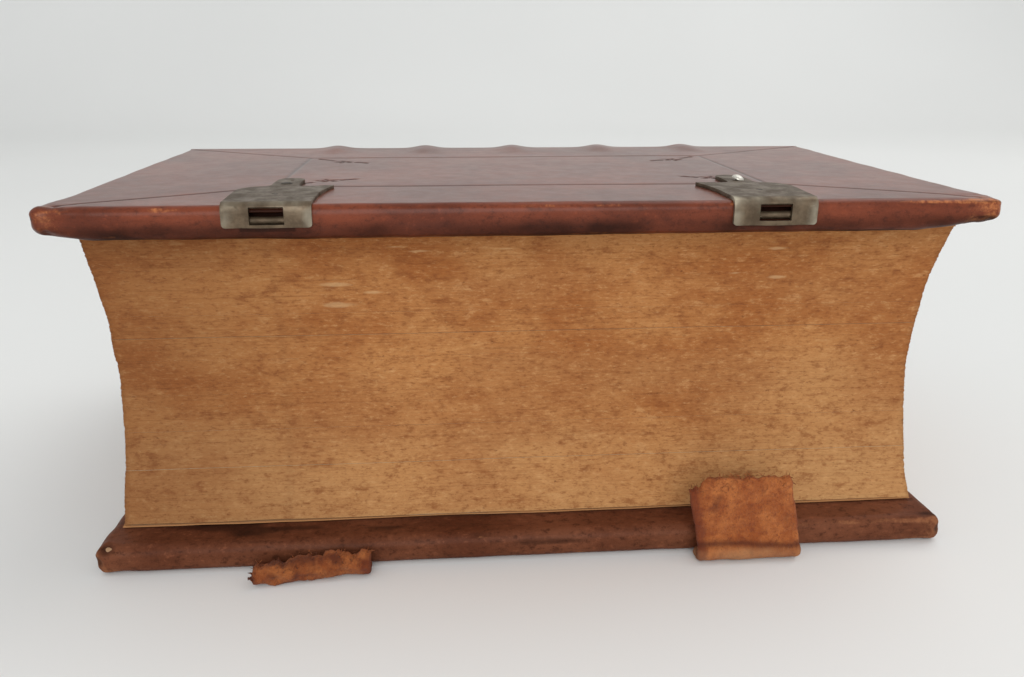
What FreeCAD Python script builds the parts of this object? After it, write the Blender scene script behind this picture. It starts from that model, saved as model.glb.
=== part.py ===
"""Old prayer book in full leather, sewn on raised cords, with two catch plates and two torn clasp straps.

X runs along the book's height, head at +X. The fore-edge faces -Y and the spine +Y. Z is up.
The origin is the centre of the lower board's underside. Lengths are in millimetres.
The closed book lies on its lower board. Every piece is modelled on the lower side where the two
sides match, and mirrored in the book's middle plane for the upper side.
"""
import FreeCAD, Part
import math
import os

import Sketcher

DIMENSIONS = {
    # the closed book
    "board_length": 170.0,
    "board_width": 93.0,
    "total_thickness": 72.0,
    # covered boards
    "board_thickness": 6.0,
    "cover_leather": 0.9,
    "turn_in_leather": 0.5,
    "turn_in_width": 13.0,
    "arris_radius": 1.8,
    "corner_radius": 2.2,
    "head_wear_reach": 16.0,
    "head_wear_rise": 2.0,
    "tail_wear_reach": 10.0,
    "tail_wear_rise": 1.6,
    # text block
    "head_square": 3.0,
    "fore_square": 7.4,
    "rounding": 8.7,
    "fold_radius": 1.0,
    "gathering_count": 24,
    # endpapers
    "paper_thickness": 0.25,
    "paper_gap": 0.05,
    "pastedown_margin": 8.0,
    "flyleaf_joint": 0.4,
    # spine
    "lining_thickness": 0.7,
    "spine_leather": 1.0,
    "cord_radius": 1.5,
    "cord_gap": 0.06,
    "cord_centre": 2.7,
    "cord_spacing": 23.8,
    "cord_clearance": 1.9,
    "headcap_thickness": 0.9,
    "headcap_depth": 2.2,
    "endband_radius": 0.92,
    "endband_inset": 0.6,
    "endband_reach": 50.0,
    "kettle_distance": 9.0,
    "kettle_radius": 0.3,
    # lacing of the cords into the boards
    "slip_length": 14.0,
    "slip_width": 4.0,
    "slip_thickness": 1.6,
    "lacing_hole_radius": 1.6,
    # catch plates
    "plate_thickness": 0.7,
    "plate_width": 15.3,
    "plate_flare": 17.6,
    "plate_depth": 18.0,
    "plate_drop": 4.3,
    "waist_radius": 105.0,
    "waist_depth": 2.0,
    "notch_radius": 3.4,
    "tongue_width": 5.2,
    "tongue_length": 26.4,
    "window_width": 5.9,
    "window_height": 2.9,
    "window_drop": 0.8,
    "head_plate_offset": 42.8,
    "tail_plate_offset": 46.7,
    "catch_pocket_width": 8.4,
    "catch_pocket_depth": 3.5,
    "catch_bar_radius": 0.75,
    # clasp straps
    "strap_thickness": 1.5,
    "strap_root_length": 22.0,
    "head_strap_width": 21.0,
    "tail_strap_width": 22.2,
    "head_strap_offset": 43.9,
    "tail_strap_offset": 43.4,
    "strap_standoff": 2.3,
    "head_free_height": 14.8,
    "tail_free_height": 2.5,
    "strap_gap": 0.1,
    # nails
    "nail_radius": 0.55,
    "nail_length": 3.6,
    "nail_head_radius": 1.3,
    "nail_head_height": 0.6,
    "nail_head_taper": 0.6,
    "edge_nail_depth": 8.6,
    "tongue_nail_depth": 21.0,
    "strap_nail_depth": 12.0,
    "strap_nail_spacing": 12.0,
    "strap_nail_length": 2.6,
}

# The five cords' stations along the spine, in cord spacings from the middle one.
BAND_STEPS = (-2, -1, 0, 1, 2)

# Derived sizes, as expressions on the sheet's cells.
MIDDLE = "Book.total_thickness / 2"
SPINE_EDGE = "Book.board_width / 2"
FORE_EDGE = "-Book.board_width / 2"
HALF_LENGTH = "Book.board_length / 2"
CORE_THICKNESS = "(Book.board_thickness - Book.cover_leather - Book.turn_in_leather)"
INNER_FACE = "(Book.cover_leather + " + CORE_THICKNESS + ")"
TEXT_BASE = "(Book.board_thickness + 2 * Book.paper_thickness + 2 * Book.paper_gap)"
HALF_TEXT = "(" + MIDDLE + " - " + TEXT_BASE + ")"
HALF_LEAF = "(" + HALF_LENGTH + " - Book.head_square)"
TEXT_RADIUS = "((" + HALF_TEXT + "^2 + Book.rounding^2) / (2 * Book.rounding))"
LINING_RADIUS = "(" + TEXT_RADIUS + " + Book.lining_thickness)"
LEATHER_RADIUS = "(" + LINING_RADIUS + " + Book.spine_leather)"
SPINE_CENTRE = "(" + SPINE_EDGE + " - sqrt(" + LEATHER_RADIUS + "^2 - (" + MIDDLE + ")^2))"
SHOULDER = "(" + SPINE_CENTRE + " + sqrt(" + TEXT_RADIUS + "^2 - " + HALF_TEXT + "^2))"
LEAF_WIDTH = "(" + SHOULDER + " + " + SPINE_EDGE + " - Book.fore_square)"
CORD_ORBIT = "(" + TEXT_RADIUS + " + Book.cord_radius + Book.cord_gap)"
PLATE_TOP = "(Book.total_thickness + Book.plate_thickness)"
PLATE_BOTTOM = "(" + PLATE_TOP + " - Book.plate_drop - Book.plate_thickness)"
WINDOW_BASE = "(" + PLATE_BOTTOM + " + Book.window_drop)"
UPPER_CORE_TOP = "(Book.total_thickness - Book.cover_leather)"

# The two ends of the book: the sign of X, and the name.
ENDS = ((1, "head"), (-1, "tail"))

doc = FreeCAD.newDocument("PrayerBook")
book = doc.addObject("Spreadsheet::Sheet", "Book")
for row, (alias, size) in enumerate(DIMENSIONS.items(), start=1):
    book.set(f"A{row}", alias)
    book.set(f"B{row}", str(size))
    book.setAlias(f"B{row}", alias)
doc.recompute()

nodes = []


def value(expression):
    """The number an expression on the sheet stands for."""
    result = book.evalExpression(expression)
    return float(getattr(result, "Value", result))


def bind(item, expressions):
    """Tie an object's properties to expressions on the sheet."""
    for name, expression in expressions.items():
        item.setExpression(name, expression)
    return item


def node(item, label):
    """Keep an object as a sub-part under its own label."""
    item.Label = label
    nodes.append(item)
    return item


# ---------------------------------------------------------------- solids from primitives


def box(name, size, corner):
    """A block from its three sizes and its lowest corner."""
    item = doc.addObject("Part::Box", name)
    return bind(item, {
        "Length": size[0], "Width": size[1], "Height": size[2],
        "Placement.Base.x": corner[0], "Placement.Base.y": corner[1], "Placement.Base.z": corner[2],
    })


def upright_cylinder(name, radius, height, foot):
    """A cylinder along Z, standing on its foot point."""
    item = doc.addObject("Part::Cylinder", name)
    return bind(item, {
        "Radius": radius, "Height": height,
        "Placement.Base.x": foot[0], "Placement.Base.y": foot[1], "Placement.Base.z": foot[2],
    })


def turn_to_spine(item, offset):
    """Lay a round primitive's axis along the spine's centre line, half a turn from below round to above."""
    item.Placement = FreeCAD.Placement(FreeCAD.Vector(), FreeCAD.Rotation(FreeCAD.Vector(0, 1, 0), 90))
    return bind(item, {
        "Placement.Base.x": offset, "Placement.Base.y": SPINE_CENTRE, "Placement.Base.z": MIDDLE,
    })


def spine_cylinder(name, radius, length, offset):
    """Half a cylinder about the spine's centre line."""
    item = doc.addObject("Part::Cylinder", name)
    item.Angle = 180
    bind(item, {"Radius": radius, "Height": length})
    return turn_to_spine(item, offset)


def spine_ring(name, orbit, radius, offset):
    """A round rod bent about the spine's centre line."""
    item = doc.addObject("Part::Torus", name)
    item.Angle3 = 180
    bind(item, {"Radius1": orbit, "Radius2": radius})
    return turn_to_spine(item, offset)


def cut(name, base, tool):
    item = doc.addObject("Part::Cut", name)
    item.Base = base
    item.Tool = tool
    return item


def common(name, base, tool):
    item = doc.addObject("Part::Common", name)
    item.Base = base
    item.Tool = tool
    return item


def fuse(name, shapes):
    item = doc.addObject("Part::MultiFuse", name)
    item.Shapes = shapes
    return item


def group(name, links):
    """Several separate solids kept as one sub-part."""
    item = doc.addObject("Part::Compound", name)
    item.Links = links
    return item


def mirrored(name, source):
    """The same piece on the upper side of the book."""
    item = doc.addObject("Part::Mirroring", name)
    item.Source = source
    item.Normal = (0, 0, 1)
    return bind(item, {"Base.z": MIDDLE})


# ---------------------------------------------------------------- bodies from sketches


def sketch_on(body, name, role):
    """A sketch on one of the body's own origin planes."""
    sketch = body.newObject("Sketcher::SketchObject", name)
    plane = next(item for item in body.Origin.OriginFeatures if item.Role == role)
    sketch.AttachmentSupport = (plane, [""])
    sketch.MapMode = "FlatFace"
    return sketch


def drive(sketch, name, expression, *constraint):
    """Add a dimension to a sketch and tie it to the sheet."""
    index = sketch.addConstraint(Sketcher.Constraint(*constraint, value(expression)))
    sketch.renameConstraint(index, name)
    sketch.setExpression("Constraints." + name, expression)


def pad(body, name, sketch, length, offset="0"):
    """Pad a sketch to both sides of its plane and shift the body along the plane's normal, which is X."""
    feature = body.newObject("PartDesign::Pad", name)
    feature.Profile = sketch
    feature.SideType = "Symmetric"
    feature.setExpression("Length", length)
    body.Tip = feature
    body.setExpression("Placement.Base.x", offset)
    return feature


def edge_names(feature, chosen):
    """Names of a feature's edges whose middle point passes a test."""
    names = []
    for number, edge in enumerate(feature.Shape.Edges, start=1):
        middle = edge.valueAt((edge.FirstParameter + edge.LastParameter) / 2)
        if chosen(edge, middle):
            names.append(f"Edge{number}")
    return names


def round_edges(body, name, feature, radius, chosen):
    """Fillet the chosen edges of a feature of the body."""
    doc.recompute()
    fillet = body.newObject("PartDesign::Fillet", name)
    fillet.Base = (feature, edge_names(feature, chosen))
    fillet.setExpression("Radius", radius)
    body.Tip = fillet
    return fillet


def board_blank(name, skin, base, thickness):
    """A lower board's slab, set in by the skin from the covered outline on its three open edges."""
    body = doc.addObject("PartDesign::Body", name)
    slab = body.newObject("PartDesign::AdditiveBox", name + "_slab")
    bind(slab, {
        "Length": "Book.board_length - 2 * " + skin,
        "Width": "Book.board_width - " + skin,
        "Height": thickness,
        "Placement.Base.x": "-" + HALF_LENGTH + " + " + skin,
        "Placement.Base.y": FORE_EDGE + " + " + skin,
        "Placement.Base.z": base,
    })
    doc.recompute()
    fore_face = value(FORE_EDGE) + value(skin)
    spine_face = value(SPINE_EDGE)
    corners = round_edges(
        body, name + "_corners", slab, "Book.corner_radius - " + skin,
        lambda edge, point: abs(point.y - fore_face) < 0.01 and edge.BoundBox.ZLength > 1,
    )
    round_edges(
        body, name + "_arrises", corners, "Book.arris_radius - " + skin,
        lambda edge, point: edge.BoundBox.ZLength < 0.01 and point.y < spine_face - 0.01,
    )
    return body


def strip(name, width, offset, start, end, thickness):
    """A flat strip in side view from start to end (Y, Z), both ends half round, padded to its width."""
    body = doc.addObject("PartDesign::Body", name)
    sketch = sketch_on(body, name + "_outline", "YZ_Plane")
    first = FreeCAD.Vector(value(start[0]), value(start[1]))
    last = FreeCAD.Vector(value(end[0]), value(end[1]))
    radius = value(thickness) / 2
    along = (last - first).normalize()
    side = FreeCAD.Vector(-along.y, along.x) * radius
    heading = math.atan2(side.y, side.x)
    normal = FreeCAD.Vector(0, 0, 1)
    sketch.addGeometry(Part.LineSegment(first - side, last - side))
    sketch.addGeometry(Part.ArcOfCircle(Part.Circle(last, normal, radius), heading - math.pi, heading))
    sketch.addGeometry(Part.LineSegment(last + side, first + side))
    sketch.addGeometry(Part.ArcOfCircle(Part.Circle(first, normal, radius), heading, heading + math.pi))
    for line, arc in ((0, 1), (2, 3)):
        sketch.addConstraint(Sketcher.Constraint("Tangent", line, 2, arc, 1))
        sketch.addConstraint(Sketcher.Constraint("Tangent", arc, 2, (line + 2) % 4, 1))
    sketch.addConstraint(Sketcher.Constraint("Equal", 1, 3))
    drive(sketch, "half_thickness", thickness + " / 2", "Radius", 1)
    for arc, place, point in ((3, "start", start), (1, "end", end)):
        drive(sketch, place + "_across", point[0], "DistanceX", -1, 1, arc, 3)
        drive(sketch, place + "_up", point[1], "DistanceY", -1, 1, arc, 3)
    pad(body, name + "_pad", sketch, width, offset)
    return body


# ---------------------------------------------------------------- text block


def gathering(number):
    """One folded and sewn gathering, trimmed hollow at the fore-edge and rounded at the spine."""
    step = "2 * " + HALF_TEXT + " / Book.gathering_count"
    low = f"({TEXT_BASE} + {number - 1} * {step})"
    high = f"({TEXT_BASE} + {number} * {step})"
    name = f"gathering_{number:02d}"
    body = doc.addObject("PartDesign::Body", name)
    sketch = sketch_on(body, name + "_outline", "YZ_Plane")
    middle = value(MIDDLE)
    radius = value(TEXT_RADIUS)
    spine_centre = FreeCAD.Vector(value(SPINE_CENTRE), middle)
    fore_centre = FreeCAD.Vector(spine_centre.x - value(LEAF_WIDTH), middle)
    normal = FreeCAD.Vector(0, 0, 1)
    low_turn = math.asin((value(low) - middle) / radius)
    high_turn = math.asin((value(high) - middle) / radius)

    def on_arc(centre, turn):
        return centre + FreeCAD.Vector(math.cos(turn), math.sin(turn)) * radius

    sketch.addGeometry(Part.LineSegment(on_arc(fore_centre, low_turn), on_arc(spine_centre, low_turn)))
    sketch.addGeometry(Part.ArcOfCircle(Part.Circle(spine_centre, normal, radius), low_turn, high_turn))
    sketch.addGeometry(Part.LineSegment(on_arc(spine_centre, high_turn), on_arc(fore_centre, high_turn)))
    sketch.addGeometry(Part.ArcOfCircle(Part.Circle(fore_centre, normal, radius), low_turn, high_turn))
    for first, first_end, second, second_end in ((0, 2, 1, 1), (1, 2, 2, 1), (2, 2, 3, 2), (3, 1, 0, 1)):
        sketch.addConstraint(Sketcher.Constraint("Coincident", first, first_end, second, second_end))
    for line, level, height in ((0, "low_face", low), (2, "high_face", high)):
        sketch.addConstraint(Sketcher.Constraint("Horizontal", line))
        drive(sketch, level, height, "DistanceY", -1, 1, line, 1)
    sketch.addConstraint(Sketcher.Constraint("Equal", 1, 3))
    drive(sketch, "spine_radius", TEXT_RADIUS, "Radius", 1)
    drive(sketch, "spine_across", SPINE_CENTRE, "DistanceX", -1, 1, 1, 3)
    drive(sketch, "spine_up", MIDDLE, "DistanceY", -1, 1, 1, 3)
    drive(sketch, "leaf_width", LEAF_WIDTH, "DistanceX", 3, 3, 1, 3)
    sketch.addConstraint(Sketcher.Constraint("Horizontal", 3, 3, 1, 3))
    leaves = pad(body, name + "_leaves", sketch, "2 * " + HALF_LEAF)
    shoulder = value(SPINE_EDGE)
    round_edges(
        body, name + "_fold", leaves, "Book.fold_radius",
        lambda edge, point: point.y > shoulder and edge.BoundBox.XLength > 1,
    )
    return node(body, name)


for number in range(1, int(DIMENSIONS["gathering_count"]) + 1):
    gathering(number)

# ---------------------------------------------------------------- sewing, linings and spine leather

behind_boards = box(
    "behind_boards",
    ("Book.board_length", "Book.board_width", "Book.total_thickness"),
    ("-" + HALF_LENGTH, SPINE_EDGE, "0"),
)
behind_cores = box(
    "behind_cores",
    ("Book.board_length", "Book.board_width", "Book.total_thickness - 2 * Book.cover_leather"),
    ("-" + HALF_LENGTH, SPINE_EDGE, "Book.cover_leather"),
)
behind_text = box(
    "behind_text",
    ("Book.board_length", "Book.board_width", "2 * " + HALF_TEXT),
    ("-" + HALF_LENGTH, "0", TEXT_BASE),
)


def band_place(step):
    return f"(Book.cord_centre + {step} * Book.cord_spacing)"


for count, step in enumerate(BAND_STEPS, start=1):
    cord = spine_ring(f"cord_ring_{count}", CORD_ORBIT, "Book.cord_radius", band_place(step))
    node(common(f"sewing_cord_{count}", cord, behind_cores), f"sewing_cord_{count}")

for sign, end in ENDS:
    kettle_place = f"({sign} * ({HALF_LEAF} - Book.kettle_distance))"
    kettle_orbit = TEXT_RADIUS + " + Book.kettle_radius + Book.cord_gap"
    kettle = spine_ring(end + "_kettle_ring", kettle_orbit, "Book.kettle_radius", kettle_place)
    node(common(end + "_kettle_stitches", kettle, behind_text), end + "_kettle_stitches")

    endband_place = f"({sign} * ({HALF_LEAF} + Book.endband_radius + Book.cord_gap))"
    reach = box(
        end + "_endband_reach",
        ("Book.board_length", "Book.board_width", "Book.endband_reach"),
        ("-" + HALF_LENGTH, "0", MIDDLE + " - Book.endband_reach / 2"),
    )
    endband = spine_ring(
        end + "_endband_ring", TEXT_RADIUS + " - Book.endband_inset", "Book.endband_radius", endband_place
    )
    node(common(end + "_endband", endband, reach), end + "_endband")


def lining(count, start, finish):
    """A paper lining glued to the spine between two stations along it."""
    length = f"{finish} - {start}"
    outer = spine_cylinder(f"lining_outer_{count}", LINING_RADIUS, length, start)
    inner = spine_cylinder(f"lining_inner_{count}", TEXT_RADIUS, length, start)
    shell = cut(f"lining_shell_{count}", outer, inner)
    return common(f"lining_{count}", shell, behind_text)


kettle_edge = "(" + HALF_LEAF + " - Book.kettle_distance - 2 * Book.kettle_radius)"
lining_starts = ["-" + kettle_edge] + [f"({band_place(step)} + Book.cord_clearance)" for step in BAND_STEPS]
lining_ends = [f"({band_place(step)} - Book.cord_clearance)" for step in BAND_STEPS] + [kettle_edge]
lining_stretches = enumerate(zip(lining_starts, lining_ends), start=1)
linings = [lining(count, start, finish) for count, (start, finish) in lining_stretches]
node(group("spine_linings", linings), "spine_linings")

skin_outer = spine_cylinder("spine_skin_outer", LEATHER_RADIUS, "Book.board_length", "-" + HALF_LENGTH)
hollow_radius = "Book.cord_radius + Book.cord_gap"
band_radius = hollow_radius + " + Book.spine_leather"
skin_bands = [
    spine_ring(f"band_over_cord_{count}", CORD_ORBIT, band_radius, band_place(step))
    for count, step in enumerate(BAND_STEPS, start=1)
]
skin_hollow = spine_cylinder(
    "spine_skin_hollow", LINING_RADIUS, "Book.board_length - 2 * Book.headcap_thickness",
    "-" + HALF_LENGTH + " + Book.headcap_thickness",
)
headcap_hollow = spine_cylinder(
    "headcap_hollow", TEXT_RADIUS + " - Book.headcap_depth", "Book.board_length", "-" + HALF_LENGTH
)
cord_hollows = []
for count, step in enumerate(BAND_STEPS, start=1):
    hollow = spine_ring(f"hollow_ring_{count}", CORD_ORBIT, hollow_radius, band_place(step))
    cord_hollows.append(common(f"cord_hollow_{count}", hollow, behind_cores))
spine_skin = cut(
    "spine_skin", fuse("spine_skin_solid", [skin_outer, *skin_bands]),
    fuse("spine_skin_voids", [skin_hollow, headcap_hollow, *cord_hollows]),
)
node(common("spine_leather", spine_skin, behind_boards), "spine_leather")

# ---------------------------------------------------------------- boards, lacing and cover leather

covered_blank = board_blank("covered_blank", "0", "0", "Book.board_thickness")
core_blank = board_blank("core_blank", "Book.cover_leather", "Book.cover_leather", CORE_THICKNESS)

slips = []
slip_end = SPINE_EDGE + " - Book.slip_length"
for count, step in enumerate(BAND_STEPS, start=1):
    slip_centre = band_place(step)
    channel = box(
        f"slip_channel_{count}",
        ("Book.slip_width", "Book.slip_length", "Book.slip_thickness"),
        (slip_centre + " - Book.slip_width / 2", slip_end, "Book.cover_leather"),
    )
    plug = upright_cylinder(
        f"slip_plug_{count}", "Book.lacing_hole_radius", CORE_THICKNESS,
        (slip_centre, slip_end, "Book.cover_leather"),
    )
    slips.append(fuse(f"cord_slip_{count}", [channel, plug]))
lower_slips = node(group("lower_cord_slips", slips), "lower_cord_slips")
upper_slips = node(mirrored("upper_cord_slips", lower_slips), "upper_cord_slips")

window_size = (
    "Book.board_length - 2 * Book.turn_in_width",
    "Book.board_width - Book.turn_in_width",
    "Book.board_thickness",
)
window_corner = ("-" + HALF_LENGTH + " + Book.turn_in_width", FORE_EDGE + " + Book.turn_in_width")
turn_in_window = box("turn_in_window", window_size, (*window_corner, INNER_FACE))
lower_skin = cut("lower_skin", covered_blank, fuse("lower_skin_voids", [core_blank, turn_in_window]))


def under_corner(name, sign, end, foot):
    """A block whose top slopes up to a fore-edge corner of the upper board, from the height of the foot."""
    reach, rise = value(f"Book.{end}_wear_reach"), value(f"Book.{end}_wear_rise")
    steepest = math.degrees(math.atan(math.sqrt(2) * rise / reach))
    turn = FreeCAD.Rotation(FreeCAD.Vector(-1, -sign, 0), steepest)
    block = doc.addObject("Part::Box", name)
    side = f"4 * Book.{end}_wear_reach"
    bind(block, {"Length": side, "Width": side, "Height": "Book.board_thickness"})
    corner = FreeCAD.Vector(sign * value(HALF_LENGTH), value(FORE_EDGE), value(foot) + rise)
    top_middle = FreeCAD.Vector(2 * reach, 2 * reach, value("Book.board_thickness"))
    block.Placement = FreeCAD.Placement(corner - turn.multVec(top_middle), turn)
    return block


def thinned_at_corners(name, blank, foot):
    """A blank mirrored to the upper side and worn thin at its two fore-edge corners from the inner side."""
    blocks = [under_corner(f"{name}_{end}_wear", sign, end, foot) for sign, end in ENDS]
    return cut(name, mirrored(name + "_blank", blank), fuse(name + "_wear", blocks))


UPPER_UNDERSIDE = "(Book.total_thickness - Book.board_thickness)"
upper_core = thinned_at_corners("upper_core", core_blank, UPPER_UNDERSIDE + " + Book.turn_in_leather")
upper_skin = cut(
    "upper_skin", thinned_at_corners("upper_covered", covered_blank, UPPER_UNDERSIDE),
    fuse("upper_skin_voids", [upper_core, mirrored("upper_turn_in_window", turn_in_window)]),
)

# ---------------------------------------------------------------- endpapers


def pastedown():
    """The lower pastedown: it dips inside the turn-ins and lies on their inner margin."""
    dip = box(
        "pastedown_dip",
        (window_size[0], window_size[1], "Book.turn_in_leather + Book.paper_thickness"),
        (*window_corner, INNER_FACE),
    )
    margin = box(
        "pastedown_margin",
        (
            "Book.board_length - 2 * Book.pastedown_margin",
            "Book.board_width - Book.pastedown_margin",
            "Book.paper_thickness",
        ),
        (
            "-" + HALF_LENGTH + " + Book.pastedown_margin",
            FORE_EDGE + " + Book.pastedown_margin",
            "Book.board_thickness",
        ),
    )
    hollow = box(
        "pastedown_hollow",
        (
            window_size[0] + " - 2 * Book.paper_thickness",
            window_size[1] + " - Book.paper_thickness",
            "Book.board_thickness",
        ),
        (
            window_corner[0] + " + Book.paper_thickness",
            window_corner[1] + " + Book.paper_thickness",
            INNER_FACE + " + Book.paper_thickness",
        ),
    )
    return cut("lower_pastedown", fuse("pastedown_sheet", [dip, margin]), hollow)


lower_pastedown = node(pastedown(), "lower_pastedown")
node(mirrored("upper_pastedown", lower_pastedown), "upper_pastedown")

lower_flyleaf = node(
    box(
        "lower_flyleaf",
        (
            "2 * " + HALF_LEAF,
            "Book.board_width - Book.fore_square - Book.flyleaf_joint",
            "Book.paper_thickness",
        ),
        (
            "-" + HALF_LEAF,
            FORE_EDGE + " + Book.fore_square",
            "Book.board_thickness + Book.paper_thickness + Book.paper_gap",
        ),
    ),
    "lower_flyleaf",
)
node(mirrored("upper_flyleaf", lower_flyleaf), "upper_flyleaf")

# ---------------------------------------------------------------- catch plates on the upper board


def nail(name, place, head_foot, shank_foot, length):
    """A nail: a low tapered head and a straight shank."""
    shank = upright_cylinder(name + "_shank", "Book.nail_radius", length, (*place, shank_foot))
    head = doc.addObject("Part::Cone", name + "_head")
    bind(head, {
        "Radius1": "Book.nail_head_radius",
        "Radius2": "Book.nail_head_radius * Book.nail_head_taper",
        "Height": "Book.nail_head_height",
        "Placement.Base.x": place[0],
        "Placement.Base.y": place[1],
        "Placement.Base.z": head_foot,
    })
    return fuse(name, [shank, head])


def catch_plate(end, centre):
    """Brass sheet folded over the fore-edge: a windowed leg, a flared field on top and a nailed tongue."""
    field = box(
        end + "_plate_field",
        ("Book.plate_flare", "Book.plate_depth + Book.plate_thickness", "Book.plate_thickness"),
        (centre + " - Book.plate_flare / 2", FORE_EDGE + " - Book.plate_thickness", "Book.total_thickness"),
    )
    tongue = box(
        end + "_plate_tongue",
        ("Book.tongue_width", "Book.tongue_length", "Book.plate_thickness"),
        (centre + " - Book.tongue_width / 2", FORE_EDGE, "Book.total_thickness"),
    )
    tongue_tip = upright_cylinder(
        end + "_plate_tip", "Book.tongue_width / 2", "Book.plate_thickness",
        (centre, FORE_EDGE + " + Book.tongue_length", "Book.total_thickness"),
    )
    cutters = []
    for sign, side in ((-1, "left"), (1, "right")):
        waist_across = f"{centre} + {sign} * (Book.plate_width / 2 + Book.waist_radius)"
        notch_across = f"{centre} + {sign} * (Book.tongue_width / 2 + Book.notch_radius)"
        cutters.append(upright_cylinder(
            f"{end}_waist_{side}", "Book.waist_radius", "Book.board_thickness",
            (waist_across, FORE_EDGE + " + Book.waist_depth", UPPER_CORE_TOP),
        ))
        cutters.append(upright_cylinder(
            f"{end}_notch_{side}", "Book.notch_radius", "Book.board_thickness",
            (notch_across, FORE_EDGE + " + Book.plate_depth + Book.notch_radius / 2", UPPER_CORE_TOP),
        ))
    outline = cut(end + "_plate_outline", field, fuse(end + "_plate_cutters", cutters))
    leg = box(
        end + "_plate_leg",
        ("Book.plate_width", "Book.plate_thickness", "Book.plate_drop + Book.plate_thickness"),
        (centre + " - Book.plate_width / 2", FORE_EDGE + " - Book.plate_thickness", PLATE_BOTTOM),
    )
    window = box(
        end + "_plate_window",
        ("Book.window_width", "3 * Book.plate_thickness", "Book.window_height"),
        (centre + " - Book.window_width / 2", FORE_EDGE + " - 2 * Book.plate_thickness", WINDOW_BASE),
    )
    nails = [
        nail(
            f"{end}_plate_nail_{which}", (centre, FORE_EDGE + " + " + depth),
            PLATE_TOP, PLATE_TOP + " - Book.nail_length", "Book.nail_length",
        )
        for which, depth in (("edge", "Book.edge_nail_depth"), ("tongue", "Book.tongue_nail_depth"))
    ]
    voids = fuse(end + "_plate_voids", [window, *nails])
    solid = fuse(end + "_plate_solid", [outline, tongue, tongue_tip, leg])
    node(cut(end + "_catch_plate", solid, voids), end + "_catch_plate")
    node(group(end + "_plate_nails", nails), end + "_plate_nails")
    return nails


def catch_bar(end, centre):
    """The bar that the clasp's hook took hold of, held behind the plate's window."""
    bar = doc.addObject("Part::Cylinder", end + "_bar_rod")
    bar.Placement = FreeCAD.Placement(FreeCAD.Vector(), FreeCAD.Rotation(FreeCAD.Vector(0, 1, 0), 90))
    bind(bar, {
        "Radius": "Book.catch_bar_radius",
        "Height": "Book.catch_pocket_width",
        "Placement.Base.x": centre + " - Book.catch_pocket_width / 2",
        "Placement.Base.y": FORE_EDGE + " + Book.catch_bar_radius + Book.cord_gap",
        "Placement.Base.z": WINDOW_BASE + " + Book.catch_bar_radius + Book.cord_gap",
    })
    node(bar, end + "_catch_bar")


def catch_pocket(end, centre):
    """The hollow in the board's fore-edge behind the window."""
    return box(
        end + "_catch_pocket",
        (
            "Book.catch_pocket_width",
            "Book.catch_pocket_depth",
            UPPER_CORE_TOP + " - " + WINDOW_BASE,
        ),
        (centre + " - Book.catch_pocket_width / 2", FORE_EDGE, WINDOW_BASE),
    )


upper_voids = []
for sign, end in ENDS:
    plate_centre = f"({sign} * Book.{end}_plate_offset)"
    upper_voids += catch_plate(end, plate_centre)
    catch_bar(end, plate_centre)
    upper_voids.append(catch_pocket(end, plate_centre))
upper_holes = fuse("upper_holes", upper_voids)
node(cut("upper_cover_leather", upper_skin, upper_holes), "upper_cover_leather")
node(cut("upper_board", upper_core, fuse("upper_board_holes", [upper_slips, *upper_voids])), "upper_board")

# ---------------------------------------------------------------- clasp straps on the lower board

FOLD_ACROSS = "(" + FORE_EDGE + " - Book.strap_standoff)"
STRAP_LEVEL = "(Book.strap_thickness / 2)"
FLAP_HINGE = "(Book.strap_thickness + Book.strap_thickness / 2 + Book.strap_gap)"
FREE_PARTS = {"head": "head_strap_flap", "tail": "tail_strap_stub"}

lower_voids = []
for sign, end in ENDS:
    strap_centre = f"({sign} * Book.{end}_strap_offset)"
    strap_width = f"Book.{end}_strap_width"
    inner_end = (FORE_EDGE + " + Book.strap_root_length", STRAP_LEVEL)
    nail_row = FORE_EDGE + " + Book.strap_nail_depth"
    seat = strip(
        end + "_strap_seat", strap_width, strap_centre,
        inner_end, (FOLD_ACROSS, STRAP_LEVEL), "Book.strap_thickness",
    )
    nails = [
        nail(
            f"{end}_strap_nail_{count}",
            (f"{strap_centre} + {side} * Book.strap_nail_spacing / 2", nail_row),
            "0", "Book.nail_head_height", "Book.strap_nail_length",
        )
        for count, side in enumerate((-1, 1), start=1)
    ]
    nail_holes = fuse(end + "_strap_nail_holes", nails)
    node(cut(end + "_strap_root", seat, nail_holes), end + "_strap_root")
    node(group(end + "_strap_nails", nails), end + "_strap_nails")
    lower_voids += [seat, nail_holes]
    free_part = strip(
        FREE_PARTS[end], strap_width, strap_centre,
        (FOLD_ACROSS, FLAP_HINGE), (FOLD_ACROSS, f"{FLAP_HINGE} + Book.{end}_free_height"),
        "Book.strap_thickness",
    )
    node(free_part, FREE_PARTS[end])

lower_holes = fuse("lower_holes", lower_voids)
node(cut("lower_cover_leather", lower_skin, lower_holes), "lower_cover_leather")
node(cut("lower_board", core_blank, fuse("lower_board_holes", [lower_slips, lower_holes])), "lower_board")

# ---------------------------------------------------------------- check and export

doc.recompute()
failed = [item.Label for item in doc.Objects if {"Invalid", "Error"} & set(item.State)]
failed += [item.Label for item in nodes if item.Shape.isNull() or not item.Shape.isValid()]
if failed:
    raise SystemExit("failed: " + ", ".join(failed))

os.makedirs("parts", exist_ok=True)
for item in nodes:
    item.Shape.exportStep(f"parts/{item.Label}.step")
    print(f"{item.Label}: {len(item.Shape.Solids)} solid(s), {item.Shape.Volume:.1f} mm3")
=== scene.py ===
import math

import bmesh
import bpy
import numpy as np
from mathutils import Matrix, Vector


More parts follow.
